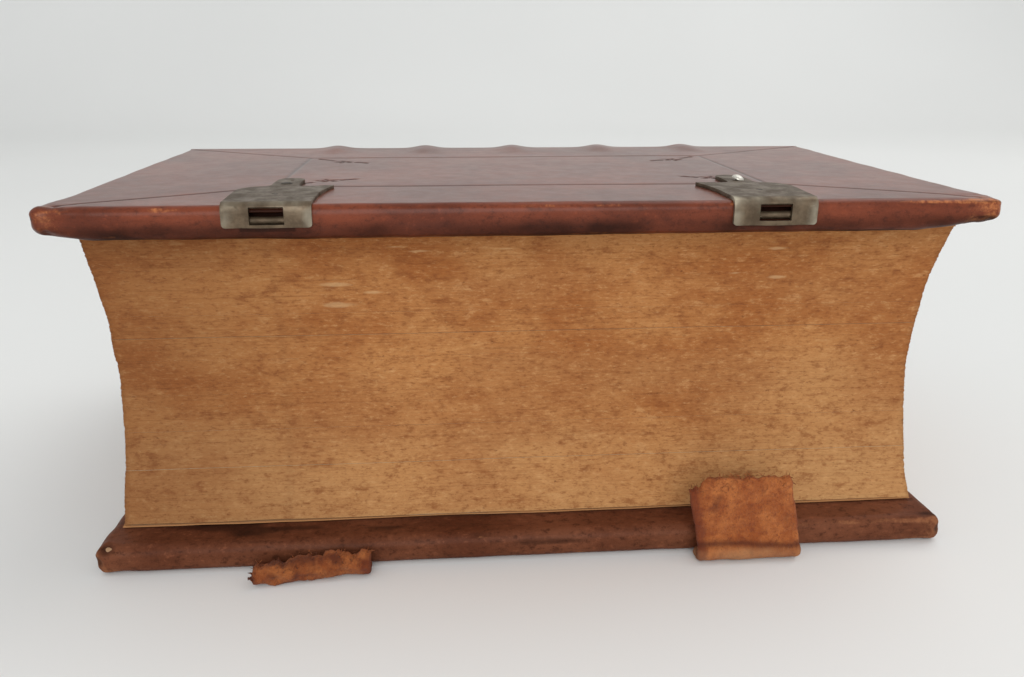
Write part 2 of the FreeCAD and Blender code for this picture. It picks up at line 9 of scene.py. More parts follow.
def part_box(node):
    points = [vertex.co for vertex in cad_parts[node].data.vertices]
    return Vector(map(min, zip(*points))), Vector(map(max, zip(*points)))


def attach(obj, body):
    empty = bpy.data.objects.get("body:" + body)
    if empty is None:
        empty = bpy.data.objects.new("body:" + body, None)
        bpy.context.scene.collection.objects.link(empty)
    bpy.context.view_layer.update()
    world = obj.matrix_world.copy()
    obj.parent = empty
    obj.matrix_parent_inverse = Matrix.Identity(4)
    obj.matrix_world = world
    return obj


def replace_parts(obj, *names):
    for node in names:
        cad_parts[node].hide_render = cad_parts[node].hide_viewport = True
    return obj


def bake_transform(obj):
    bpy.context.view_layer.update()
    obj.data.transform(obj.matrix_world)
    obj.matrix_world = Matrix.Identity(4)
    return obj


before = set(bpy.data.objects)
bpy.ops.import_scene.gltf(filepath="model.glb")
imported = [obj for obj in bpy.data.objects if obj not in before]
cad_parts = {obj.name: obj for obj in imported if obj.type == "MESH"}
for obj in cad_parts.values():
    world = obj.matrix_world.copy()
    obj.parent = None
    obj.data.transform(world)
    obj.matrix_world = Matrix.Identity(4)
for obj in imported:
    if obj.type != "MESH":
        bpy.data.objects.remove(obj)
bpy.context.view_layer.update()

# ---------------------------------------------------------------- sizes, from the frame
MM = 0.001
LOWER_LOW, LOWER_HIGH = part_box("lower_cover_leather")
UPPER_LOW, UPPER_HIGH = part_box("upper_cover_leather")
HALF_LENGTH = UPPER_HIGH.x
FORE_EDGE = LOWER_LOW.y
SPINE_EDGE = LOWER_HIGH.y
TOP = UPPER_HIGH.z
MIDDLE = TOP / 2
BOARD = LOWER_HIGH.z

GATHERINGS = sorted(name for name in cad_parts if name.startswith("gathering_"))
LEAF_LOW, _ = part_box(GATHERINGS[0])
_, LEAF_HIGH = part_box(GATHERINGS[-1])
HALF_LEAF = LEAF_HIGH.x
TEXT_LOW, TEXT_HIGH = LEAF_LOW.z, LEAF_HIGH.z
BOARD_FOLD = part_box(GATHERINGS[len(GATHERINGS) // 2])[1].y
SHOULDER_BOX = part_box("spine_linings")
HALF_TEXT = (TEXT_HIGH - TEXT_LOW) / 2
LEATHER_OUT = 1.7 * MM
CORD_X = [(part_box(f"sewing_cord_{k}")[0].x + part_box(f"sewing_cord_{k}")[1].x) / 2 for k in range(1, 6)]


def spine_arc():
    """Radius of the text block's round spine, and the distance of its centre line from the fore-edge plane."""
    low, high = SHOULDER_BOX
    lining = 0.7 * MM
    half = (high.z - low.z) / 2
    sagitta = high.y - lining - low.y
    return (half ** 2 + sagitta ** 2) / (2 * sagitta)


TEXT_RADIUS = spine_arc()
ARC_CENTRE = BOARD_FOLD - TEXT_RADIUS
SHOULDER = ARC_CENTRE + math.sqrt(TEXT_RADIUS ** 2 - HALF_TEXT ** 2)
LEAF_WIDTH = SHOULDER - LEAF_LOW.y
LEATHER_RADIUS = TEXT_RADIUS + LEATHER_OUT

# ---------------------------------------------------------------- random fields


def lattice(x, y, z, seed):
    """Repeatable random values from -1 to 1 at whole-number points."""
    mixed = (x * 73856093) ^ (y * 19349663) ^ (z * 83492791) ^ (seed * 40503)
    mixed = (mixed ^ (mixed >> 13)) * 1274126177 & 0xFFFFFFFF
    mixed = (mixed ^ (mixed >> 15)) * 668265263 & 0xFFFFFFFF
    return ((mixed ^ (mixed >> 16)) & 0xFFFF) / 32767.5 - 1


def noise(points, size, seed, octaves=3):
    """A smooth random field over points, from about -1 to 1. size is its grain in metres, or one for each axis."""
    total = np.zeros(len(points))
    weight = 1.0
    for octave in range(octaves):
        scaled = points / np.asarray(size, float) * 2 ** octave + 37.3 * octave
        cell = np.floor(scaled).astype(np.int64)
        part = scaled - cell
        part = part * part * (3 - 2 * part)
        value = np.zeros(len(points))
        for corner in np.ndindex(2, 2, 2):
            share = np.prod(np.where(corner, part, 1 - part), axis=1)
            value += share * lattice(*(cell + corner).T, seed + octave)
        total += value * weight
        weight *= 0.5
    return total


def smooth(value, low, high):
    """0 below low, 1 above high, and a smooth step between them."""
    share = np.clip((value - low) / (high - low), 0, 1)
    return share * share * (3 - 2 * share)


# ---------------------------------------------------------------- mesh helpers


def new_object(name, points, faces, shade_smooth=True):
    """A mesh object from points and faces, which are rows of point numbers."""
    mesh = bpy.data.meshes.new(name)
    mesh.from_pydata(np.asarray(points, float).tolist(), [], [list(face) for face in faces])
    mesh.polygons.foreach_set("use_smooth", [shade_smooth] * len(mesh.polygons))
    mesh.update()
    made = bpy.data.objects.new(name, mesh)
    bpy.context.scene.collection.objects.link(made)
    return made


def coordinates(item):
    points = np.empty(len(item.data.vertices) * 3, np.float32)
    item.data.vertices.foreach_get("co", points)
    return points.reshape(-1, 3).astype(float)


def normals(item):
    found = np.empty(len(item.data.vertices) * 3, np.float32)
    item.data.vertices.foreach_get("normal", found)
    return found.reshape(-1, 3).astype(float)


def move_points(item, points):
    item.data.vertices.foreach_set("co", points.astype(np.float32).ravel())
    item.data.update()


def push(item, amount):
    """Move every point along its own normal."""
    move_points(item, coordinates(item) + normals(item) * amount[:, None])


def mark(item, name, values):
    """Keep a number for every point, for the material to read."""
    attribute = item.data.attributes.new(name, "FLOAT", "POINT")
    attribute.data.foreach_set("value", np.asarray(values, np.float32))


def mark_rest(item):
    """Keep every point's place at rest, so that a pattern stays put when the piece bends."""
    attribute = item.data.attributes.new("rest_place", "FLOAT_VECTOR", "POINT")
    attribute.data.foreach_set("vector", coordinates(item).astype(np.float32).ravel())


def grid_faces(rows, columns, start=0, closed=False):
    """Quads between neighbouring points of a grid stored row by row; closed joins the last column to the first."""
    row, column = np.meshgrid(np.arange(rows - 1), np.arange(columns if closed else columns - 1), indexing="ij")
    following = (column + 1) % columns
    corners = (row * columns + column, row * columns + following,
               (row + 1) * columns + following, (row + 1) * columns + column)
    return np.stack([corner.ravel() for corner in corners], axis=1) + start


def merge(parts):
    """Points and faces of several (points, faces) pairs as one."""
    points, faces, count = [], [], 0
    for part_points, part_faces in parts:
        points.append(np.asarray(part_points, float))
        faces += [[index + count for index in face] for face in part_faces]
        count += len(part_points)
    return np.concatenate(points), faces


def spaced(start, stop, pitch):
    return np.linspace(start, stop, max(2, int(round((stop - start) / pitch)) + 1))


def edged(half, zone, fine, coarse):
    """Coordinates from -half to half, closely spaced in a zone at each end."""
    inner = spaced(-half + zone, half - zone, coarse)
    return np.concatenate([spaced(-half, -half + zone, fine)[:-1], inner, spaced(half - zone, half, fine)[1:]])


def box_grid(xs, ys, zs):
    """Points and outward quads over the six faces of a box, cut at the given coordinates."""
    sheets = []
    for axis, (first, second) in ((0, (ys, zs)), (1, (zs, xs)), (2, (xs, ys))):
        for level, flip in (((xs, ys, zs)[axis][-1], False), ((xs, ys, zs)[axis][0], True)):
            a, b = np.meshgrid(first, second, indexing="ij")
            points = np.empty((a.size, 3))
            points[:, axis] = level
            points[:, (axis + 1) % 3] = a.ravel()
            points[:, (axis + 2) % 3] = b.ravel()
            faces = grid_faces(len(first), len(second))
            sheets.append((points, faces if flip else faces[:, ::-1]))
    points = np.concatenate([sheet[0] for sheet in sheets])
    starts = np.cumsum([0] + [len(sheet[0]) for sheet in sheets[:-1]])
    faces = np.concatenate([sheet[1] + start for sheet, start in zip(sheets, starts)])
    _, first_index, place = np.unique(
        np.round(points * 1e7).astype(np.int64), axis=0, return_index=True, return_inverse=True
    )
    return points[first_index], place.ravel()[faces]


# ---------------------------------------------------------------- materials


class Recipe:
    """A material's node tree, built one node at a time."""

    def __init__(self, name, rest=False):
        self.material = bpy.data.materials.new(name)
        self.material.use_nodes = True
        self.tree = self.material.node_tree
        self.shader = self.tree.nodes["Principled BSDF"]
        if rest:
            self.place = self.attribute("rest_place", "Vector")
        else:
            self.place = self.add("TexCoord").outputs["Object"]

    def add(self, kind, inputs=(), **settings):
        made = self.tree.nodes.new("ShaderNode" + kind)
        for name, setting in settings.items():
            setattr(made, name, setting)
        for key, value in dict(inputs).items():
            self.feed(made.inputs[key], value)
        return made

    def feed(self, socket, value):
        if isinstance(value, bpy.types.NodeSocket):
            self.tree.links.new(value, socket)
        else:
            socket.default_value = value

    def attribute(self, name, output="Fac"):
        return self.add("Attribute", attribute_name=name).outputs[output]

    def scaled(self, scale):
        """The place in the row frame, stretched on each axis."""
        return self.add("Mapping", {"Vector": self.place, "Scale": scale}).outputs["Vector"]

    def noise(self, grain, detail=4.0, roughness=0.55, stretch=(1, 1, 1), distortion=0.0):
        """A random field from 0 to 1 with its grain in millimetres."""
        scale = [side / (grain * MM) for side in stretch]
        made = self.add("TexNoise", {
            "Vector": self.scaled(scale), "Scale": 1.0, "Detail": detail,
            "Roughness": roughness, "Distortion": distortion,
        })
        return made.outputs[0]

    def cells(self, grain, feature="F1", stretch=(1, 1, 1)):
        scale = [side / (grain * MM) for side in stretch]
        made = self.add("TexVoronoi", {"Vector": self.scaled(scale), "Scale": 1.0}, feature=feature)
        return made.outputs["Distance"]

    def math(self, operation, first, second=0.0):
        made = self.add("Math", operation=operation)
        self.feed(made.inputs[0], first)
        self.feed(made.inputs[1], second)
        return made.outputs[0]

    def step(self, value, low, high, out_low=0.0, out_high=1.0):
        """A smooth step of value from low to high."""
        made = self.add("MapRange", interpolation_type="SMOOTHSTEP")
        for key, number in (("Value", value), ("From Min", low), ("From Max", high),
                            ("To Min", out_low), ("To Max", out_high)):
            self.feed(made.inputs[key], number)
        return made.outputs["Result"]

    def mix(self, share, first, second, blend="MIX"):
        """A colour between two colours."""
        made = self.add("Mix", data_type="RGBA", blend_type=blend)
        self.feed(made.inputs[0], share)
        self.feed(made.inputs[6], first if isinstance(first, bpy.types.NodeSocket) else (*first, 1))
        self.feed(made.inputs[7], second if isinstance(second, bpy.types.NodeSocket) else (*second, 1))
        return made.outputs[2]

    def bump(self, height, distance, strength=1.0, under=None):
        """A normal raised by a height field; distance is in millimetres."""
        made = self.add("Bump", {"Height": height, "Distance": distance * MM, "Strength": strength})
        if under is not None:
            self.feed(made.inputs["Normal"], under)
        return made.outputs["Normal"]

    def finish(self, **sockets):
        for name, value in sockets.items():
            socket = self.shader.inputs[name.replace("_", " ")]
            if isinstance(value, tuple) and len(value) == 3:
                value = (*value, 1)
            self.feed(socket, value)
        return self.material


def leather(name, dark, light, worn, gloss, haze, mottle, rest=False):
    """Old polished leather: cloudy colour, pores, hair cracks, dark tooling and orange wear where it is marked."""
    recipe = Recipe(name, rest)
    clouds = recipe.noise(22, 4, 0.55)
    streaks = recipe.noise(5, 4, 0.65, (0.3, 1, 1.6), 0.6)
    pores = recipe.cells(0.42)
    grain = recipe.noise(0.28, 3, 0.7)
    cracks = recipe.cells(2.3, "DISTANCE_TO_EDGE", (1.0, 0.7, 1.0))
    darker = [channel * 0.5 for channel in dark]
    base = recipe.mix(recipe.step(clouds, 0.34, 0.68), dark, light)
    base = recipe.mix(recipe.step(streaks, 0.5, 0.8, 0, 0.5), base, darker)
    base = recipe.mix(recipe.step(pores, 0.0, 0.35, 0.35, 0.0), base, darker)
    blotches = recipe.noise(1.3, 5, 0.75, (0.7, 1, 1))
    base = recipe.mix(recipe.step(blotches, 0.5, 0.68, 0, mottle), base, darker)
    base = recipe.mix(recipe.step(blotches, 0.46, 0.3, 0, 0.6 * mottle), base, [channel * 1.5 for channel in light])
    flecks = recipe.math("MULTIPLY", recipe.math("SUBTRACT", recipe.noise(0.9, 5, 0.7), 0.5), 0.9)
    scuff = recipe.step(recipe.math("ADD", recipe.attribute("wear"), flecks), 0.45, 0.85)
    rub = recipe.mix(recipe.step(recipe.noise(1.4, 4, 0.7), 0.4, 0.65), worn, light)
    base = recipe.mix(recipe.math("MULTIPLY", scuff, 0.85), base, rub)
    blackened = [channel * 0.14 for channel in dark]
    base = recipe.mix(recipe.math("MULTIPLY", recipe.attribute("tooling"), 0.85), base, blackened)
    # Painted shade and grime where marked: creases, the lower rounding of edges, recesses and dirt go near-black
    # brown.
    base = recipe.mix(recipe.math("MULTIPLY", recipe.attribute("grime_and_shade"), 0.85), base, (0.014, 0.006, 0.004))
    rough = recipe.step(recipe.noise(3.5, 4, 0.6), 0.3, 0.75, gloss, gloss + 0.15)
    rough = recipe.math("ADD", rough, recipe.math("MULTIPLY", scuff, 0.3))
    height = recipe.bump(grain, 0.05, 0.5)
    height = recipe.bump(pores, 0.06, 0.5, height)
    height = recipe.bump(recipe.step(cracks, 0.0, 0.06), 0.05, 0.3, height)
    height = recipe.bump(recipe.math("MULTIPLY", scuff, recipe.noise(0.5, 4, 0.8)), 0.25, 0.7, height)
    polish = recipe.math("SUBTRACT", haze, recipe.math("MULTIPLY", recipe.attribute("grime_and_shade"), 0.8 * haze))
    return recipe.finish(Base_Color=base, Roughness=rough, Normal=height, Specular_IOR_Level=0.05,
                         Coat_Weight=polish, Coat_Roughness=0.3, Coat_IOR=1.27)


def page_edges():
    """Trimmed leaf edges, stained brown: mottled and specked, faintly lined along the leaves, paler low down."""
    recipe = Recipe("stained_leaf_edges")
    fine = recipe.noise(1.0, 3, 0.7, (0.55, 0.55, 7.0))
    leaves = recipe.noise(1.0, 2, 0.6, (0.05, 0.05, 3.2))
    mottle = recipe.noise(2.6, 6, 0.75, (0.6, 0.6, 1.2))
    grain = recipe.noise(0.8, 4, 0.75, (0.6, 0.6, 1.4))
    clouds = recipe.noise(24, 4, 0.6, (0.7, 0.7, 1.2))
    base = recipe.mix(recipe.step(clouds, 0.38, 0.62), (0.37, 0.128, 0.035), (0.50, 0.220, 0.073))
    base = recipe.mix(recipe.attribute("fade"), base, (0.53, 0.285, 0.115))
    base = recipe.mix(recipe.step(mottle, 0.5, 0.66, 0, 0.65), base, (0.25, 0.078, 0.022))
    base = recipe.mix(recipe.step(mottle, 0.46, 0.32, 0, 0.55), base, (0.62, 0.33, 0.135))
    base = recipe.mix(recipe.step(grain, 0.52, 0.68, 0, 0.65), base, (0.22, 0.072, 0.022))
    base = recipe.mix(recipe.step(grain, 0.46, 0.3, 0, 0.45), base, (0.68, 0.39, 0.17))
    base = recipe.mix(recipe.step(fine, 0.5, 0.75, 0, 0.3), base, (0.27, 0.095, 0.03))
    base = recipe.mix(recipe.step(leaves, 0.6, 0.74, 0, 0.3), base, (0.24, 0.085, 0.028))
    specks = recipe.noise(0.75, 2, 0.5, (0.6, 0.6, 1.3))
    base = recipe.mix(recipe.step(specks, 0.7, 0.79, 0, 0.7), base, (0.13, 0.045, 0.016))
    ragged = recipe.math("MULTIPLY", recipe.math("SUBTRACT", mottle, 0.5), 1.3)
    pale = recipe.math("ADD", recipe.attribute("pale"), ragged)
    base = recipe.mix(recipe.step(pale, 0.5, 0.95, 0, 0.45), base, (0.72, 0.47, 0.24))
    # Painted shade in the grooves between leaves and under the upper board, with dark stain, where marked.
    base = recipe.mix(recipe.math("MULTIPLY", recipe.attribute("grime_and_shade"), 0.7), base, (0.12, 0.04, 0.014))
    height = recipe.bump(fine, 0.07, 0.6)
    height = recipe.bump(grain, 0.12, 0.6, height)
    return recipe.finish(Base_Color=base, Roughness=0.88, Normal=height, Specular_IOR_Level=0.2)


def old_paper(name, pale, brown):
    """Aged blank rag paper: laid lines, foxing and browned margins."""
    recipe = Recipe(name)
    laid = recipe.add("TexWave", {
        "Vector": recipe.place, "Scale": 1 / (1.1 * MM) / 20, "Distortion": 0.6, "Detail": 2.0,
    }, bands_direction="Y").outputs[0]
    clouds = recipe.noise(30, 5, 0.6)
    fox = recipe.cells(9)
    base = recipe.mix(recipe.step(clouds, 0.35, 0.7, 0, 0.6), pale, brown)
    mottle = recipe.noise(3.5, 6, 0.7)
    base = recipe.mix(recipe.step(mottle, 0.5, 0.68, 0, 0.3), base, brown)
    base = recipe.mix(recipe.step(laid, 0.3, 0.8, 0, 0.10), base, [c * 0.7 for c in brown])
    spots = recipe.math("ADD", fox, recipe.math("MULTIPLY", recipe.noise(1.2, 3, 0.6), 0.2))
    base = recipe.mix(recipe.step(spots, 0.2, 0.12, 0, 0.5), base, (0.38, 0.20, 0.08))
    base = recipe.mix(recipe.attribute("stain"), base, (0.44, 0.20, 0.075))
    height = recipe.bump(recipe.noise(0.35, 3, 0.6), 0.04, 0.4)
    height = recipe.bump(laid, 0.02, 0.3, height)
    return recipe.finish(Base_Color=base, Roughness=0.9, Normal=height, Specular_IOR_Level=0.2)


def suede(name):
    """Torn strap leather: a fibrous orange-brown flesh side with dark rubs."""
    recipe = Recipe(name, rest=True)
    fibres = recipe.noise(0.45, 5, 0.8, (1, 1, 0.55), 1.2)
    clouds = recipe.noise(4.5, 4, 0.65)
    pits = recipe.cells(0.7)
    base = recipe.mix(recipe.step(clouds, 0.35, 0.7), (0.34, 0.085, 0.020), (0.54, 0.175, 0.048))
    base = recipe.mix(recipe.step(fibres, 0.50, 0.72, 0, 0.7), base, (0.16, 0.038, 0.012))
    base = recipe.mix(recipe.step(fibres, 0.42, 0.25, 0, 0.5), base, (0.78, 0.38, 0.16))
    base = recipe.mix(recipe.step(pits, 0.25, 0.05, 0, 0.6), base, (0.13, 0.032, 0.010))
    base = recipe.mix(recipe.step(recipe.noise(1.7, 5, 0.75), 0.5, 0.66, 0, 0.6), base, (0.20, 0.042, 0.012))
    base = recipe.mix(recipe.math("MULTIPLY", recipe.attribute("torn"), 0.8), base, (0.17, 0.030, 0.010))
    base = recipe.mix(recipe.math("MULTIPLY", recipe.attribute("wear"), 0.75), base, (0.44, 0.235, 0.110))
    # Painted shade in the crease and over the stub, with soil, where marked.
    base = recipe.mix(recipe.math("MULTIPLY", recipe.attribute("grime_and_shade"), 0.8), base, (0.085, 0.018, 0.008))
    height = recipe.bump(fibres, 0.4, 1.0)
    height = recipe.bump(pits, 0.12, 0.5, height)
    return recipe.finish(Base_Color=base, Roughness=0.92, Normal=height, Specular_IOR_Level=0.2,
                         Sheen_Weight=0.06, Sheen_Roughness=0.5)


def old_brass(name, deep, bright, rough):
    """Tarnished sheet brass: brown patina, grey-green bloom, scratches and rubbed spots."""
    recipe = Recipe(name)
    clouds = recipe.noise(3.2, 5, 0.65)
    bloom = recipe.noise(1.3, 4, 0.6)
    scratch = recipe.noise(0.5, 3, 0.6, (0.25, 2.0, 2.0), 0.4)
    base = recipe.mix(recipe.step(clouds, 0.35, 0.68), deep, bright)
    base = recipe.mix(recipe.step(bloom, 0.55, 0.75, 0, 0.4), base, (0.125, 0.120, 0.080))
    base = recipe.mix(recipe.step(scratch, 0.68, 0.76, 0, 0.4), base, (0.48, 0.42, 0.30))
    base = recipe.mix(recipe.attribute("wear"), base, (0.52, 0.47, 0.36))
    roughness = recipe.step(clouds, 0.3, 0.7, rough + 0.12, rough - 0.1)
    height = recipe.bump(clouds, 0.18, 0.5)
    height = recipe.bump(scratch, 0.05, 0.5, height)
    return recipe.finish(Base_Color=base, Roughness=roughness, Metallic=0.6, Normal=height)


def board_wood():
    recipe = Recipe("beech_board")
    rings = recipe.noise(2.2, 4, 0.6, (0.05, 1, 1), 0.8)
    fleck = recipe.noise(0.6, 3, 0.6, (0.12, 1, 1))
    base = recipe.mix(recipe.step(rings, 0.35, 0.7), (0.36, 0.21, 0.11), (0.22, 0.12, 0.06))
    base = recipe.mix(recipe.step(fleck, 0.6, 0.8, 0, 0.5), base, (0.14, 0.07, 0.035))
    height = recipe.bump(rings, 0.1, 0.4)
    return recipe.finish(Base_Color=base, Roughness=0.75, Normal=height)


def thread(name, pale, dark, grain, rest=False):
    """Twisted hemp or linen."""
    recipe = Recipe(name, rest)
    twist = recipe.noise(grain, 3, 0.6, (1, 1, 0.5), 0.8)
    base = recipe.mix(recipe.step(twist, 0.35, 0.7), pale, dark)
    base = recipe.mix(recipe.step(recipe.noise(6, 3, 0.6), 0.5, 0.75, 0, 0.5), base, [c * 0.5 for c in dark])
    height = recipe.bump(twist, 0.2, 0.8)
    return recipe.finish(Base_Color=base, Roughness=0.95, Normal=height, Specular_IOR_Level=0.2)


def studio_surface():
    recipe = Recipe("pale_floor")
    clouds = recipe.noise(600, 2, 0.5)
    base = recipe.mix(recipe.step(clouds, 0.3, 0.7), (0.80, 0.80, 0.79), (0.83, 0.83, 0.82))
    return recipe.finish(Base_Color=base, Roughness=0.85, Specular_IOR_Level=0.25)


UPPER_LEATHER = leather(
    "upper_leather", (0.118, 0.024, 0.009), (0.190, 0.041, 0.016), (0.50, 0.17, 0.058), 0.42, 1.0, 0.6
)
LOWER_LEATHER = leather(
    "lower_leather", (0.104, 0.031, 0.014), (0.170, 0.058, 0.028), (0.28, 0.11, 0.05), 0.6, 0.2, 0.8
)
SPINE_LEATHER = leather(
    "spine_leather_skin", (0.110, 0.024, 0.011), (0.180, 0.043, 0.020), (0.40, 0.15, 0.06), 0.42, 0.8, 0.45, rest=True
)
LEAF_EDGES = page_edges()
LEAF_PAPER = old_paper("leaf_paper", (0.66, 0.55, 0.38), (0.52, 0.39, 0.23))
ENDPAPER = old_paper("endpaper", (0.60, 0.48, 0.32), (0.44, 0.31, 0.17))
SUEDE = suede("strap_suede")
PLATE_BRASS = old_brass("tarnished_brass", (0.082, 0.054, 0.031), (0.146, 0.102, 0.062), 0.5)
NAIL_BRASS = old_brass("nail_metal", (0.030, 0.024, 0.018), (0.075, 0.058, 0.042), 0.55)
# Pale rubbed metal, also standing in for the highlight on the raised nail's head.
BRIGHT_NAIL = old_brass("rubbed_nail_with_highlight", (0.62, 0.58, 0.50), (0.86, 0.83, 0.76), 0.34)
WOOD = board_wood()
HEMP = thread("hemp_cord", (0.55, 0.43, 0.28), (0.34, 0.24, 0.14), 0.5)
ENDBAND_THREAD = thread("endband_thread", (0.56, 0.45, 0.29), (0.30, 0.17, 0.09), 0.35, rest=True)
FLOOR = studio_surface()


def dress(item, *materials):
    if item.data.materials:
        item.data.materials.clear()
    for material in materials:
        item.data.materials.append(material)
    return item


# ---------------------------------------------------------------- covered boards

TOOLED_X = 49 * MM
TOOLED_FORE = FORE_EDGE + 21.4 * MM
TOOLED_SPINE = SPINE_EDGE - 23.0 * MM
BOARD_BACK = SPINE_EDGE + 0.06 * MM
# How far along the fore-edge each of the upper board's corners is worn thin, and how high at its tip.
CORNER_WEAR = {1: (16 * MM, 2.0 * MM), -1: (10 * MM, 1.6 * MM)}


def plan_outline(points, corner):
    """Distance inside a board's rounded outline and the outward direction in plan."""
    centre_y = (FORE_EDGE + BOARD_BACK) / 2
    half = np.array([HALF_LENGTH, (BOARD_BACK - FORE_EDGE) / 2])
    place = points[:, :2] - (0, centre_y)
    corner = np.where(place[:, 1] > 0, 1.0 * MM, corner)[:, None]
    beyond = np.abs(place) - (half - corner)
    outside = np.maximum(beyond, 0)
    length = np.linalg.norm(outside, axis=1)
    inside = corner[:, 0] - length - np.minimum(beyond.max(axis=1), 0)
    flat = np.where(beyond[:, :1] > beyond[:, 1:], [1.0, 0.0], [0.0, 1.0])
    direction = np.where(length[:, None] > 1e-9, outside / np.maximum(length, 1e-9)[:, None], flat)
    return inside, direction * np.sign(place)


def round_slab(points, low, high, corner, arris):
    """Round a sharp slab's corners in plan and its arrises in section."""
    centre_y = (FORE_EDGE + BOARD_BACK) / 2
    half = np.array([HALF_LENGTH, (BOARD_BACK - FORE_EDGE) / 2])
    place = points[:, :2] - (0, centre_y)
    radius = np.where(place[:, 1] > 0, 1.0 * MM, corner)
    beyond = np.abs(place) - (half - radius[:, None])
    both = (beyond > 0).all(axis=1)
    reach = np.hypot(*beyond.T)
    share = np.where(both, beyond.max(axis=1) / np.maximum(reach, 1e-9), 1)
    inner = np.sign(place) * (half - radius[:, None])
    place = np.where(both[:, None], inner + (place - inner) * share[:, None], place)
    points = np.column_stack([place + (0, centre_y), points[:, 2]])
    inside, direction = plan_outline(points, corner)
    middle = (low + high) / 2
    arris = arris + (0.5 * MM - arris) * smooth(direction[:, 1], 0.7, 0.98)
    outward = arris - inside
    upward = arris - ((high - low) / 2 - np.abs(points[:, 2] - middle))
    near = (outward > 0) & (upward > 0)
    share = np.where(near, np.maximum(outward, upward) / np.maximum(np.hypot(outward, upward), 1e-9), 1)
    points[:, :2] -= direction * (np.where(near, outward * (1 - share), 0))[:, None]
    points[:, 2] -= np.sign(points[:, 2] - middle) * np.where(near, upward * (1 - share), 0)
    return points


def thin_corners(points, low, high):
    """Wear the upper board's two fore-edge corners thin from the inner side."""
    for sign, (reach, height) in CORNER_WEAR.items():
        from_corner = (HALF_LENGTH - sign * points[:, 0]) + (points[:, 1] - FORE_EDGE)
        rise = height * np.clip(1 - from_corner / reach, 0, 1)
        points[:, 2] += rise * (high - points[:, 2]) / (high - low)


def segment_distance(points, start, end):
    start, end = np.array(start), np.array(end)
    along = end - start
    share = np.clip(((points - start) @ along) / (along @ along), 0, 1)
    return np.linalg.norm(points - (start + share[:, None] * along), axis=1)


def fillet_lines(points):
    """Distance to the blind-tooled frame and its mitre lines."""
    folded = np.column_stack([np.abs(points[:, 0]), points[:, 1]])
    fore, spine = (TOOLED_X, TOOLED_FORE), (TOOLED_X, TOOLED_SPINE)
    lines = [
        (fore, spine),
        ((0, TOOLED_FORE), fore),
        ((0, TOOLED_SPINE), spine),
        ((HALF_LENGTH - 2.5 * MM, FORE_EDGE + 2.5 * MM), fore),
        ((HALF_LENGTH - 2.5 * MM, SPINE_EDGE - 2.0 * MM), spine),
    ]
    return np.min([segment_distance(folded, *line) for line in lines], axis=0)


def corner_stamps(points):
    """How deep each point lies in one of the four small flower stamps inside the frame's corners."""
    folded_x = np.abs(points[:, 0])
    depth = np.zeros(len(points))
    for corner_y, sign in ((TOOLED_FORE, 1), (TOOLED_SPINE, -1)):
        centre = np.array([TOOLED_X - 9.0 * MM, corner_y + sign * 8.5 * MM])
        place = np.column_stack([folded_x, points[:, 1]]) - centre
        radius = np.hypot(*place.T)
        angle = np.arctan2(place[:, 1], place[:, 0])
        petals = 2.5 * MM * (0.62 + 0.38 * np.cos(5 * angle))
        flower = smooth(petals - radius, -0.25 * MM, 0.25 * MM) * (1 - smooth(0.75 * MM - radius, -0.2 * MM, 0.2 * MM))
        dot = smooth(0.45 * MM - radius, -0.15 * MM, 0.15 * MM)
        stem = segment_distance(place, (3.0 * MM, -sign * 2.8 * MM), (6.4 * MM, -sign * 6.0 * MM))
        leaf = smooth(0.55 * MM - stem, -0.2 * MM, 0.2 * MM)
        side = segment_distance(place, (-2.9 * MM, sign * 0.8 * MM), (-5.4 * MM, sign * 2.0 * MM))
        bud = smooth(0.6 * MM - side, -0.2 * MM, 0.2 * MM)
        depth = np.maximum(depth, np.maximum.reduce([flower, dot, leaf, bud]))
    return depth


def refine(item, chosen, cuts):
    """Divide the faces whose middle passes a test."""
    mesh = bmesh.new()
    mesh.from_mesh(item.data)
    mesh.faces.ensure_lookup_table()
    middles = np.array([face.calc_center_median() for face in mesh.faces])
    picked = np.nonzero(chosen(middles))[0]
    edges = {edge for index in picked for edge in mesh.faces[index].edges}
    bmesh.ops.subdivide_edges(mesh, edges=sorted(edges, key=lambda edge: edge.index), cuts=cuts, use_grid_fill=True)
    mesh.to_mesh(item.data)
    mesh.free()


def slip_humps(points):
    """Low swellings over the cord slips at a board's spine edge."""
    inward = SPINE_EDGE - points[:, 1]
    along = smooth(inward, 16 * MM, 4 * MM)
    hump = sum(np.exp(-((points[:, 0] - x) / (3.4 * MM)) ** 2) for x in CORD_X)
    return hump * along


def hollows(points, spots):
    """How deep each point lies in one of the small worn hollows, given as (centre, radius)."""
    share = np.zeros(len(points))
    for centre, radius in spots:
        distance = np.linalg.norm(points - np.array(centre), axis=1)
        share = np.maximum(share, smooth(distance, radius, 0.4 * radius))
    return share


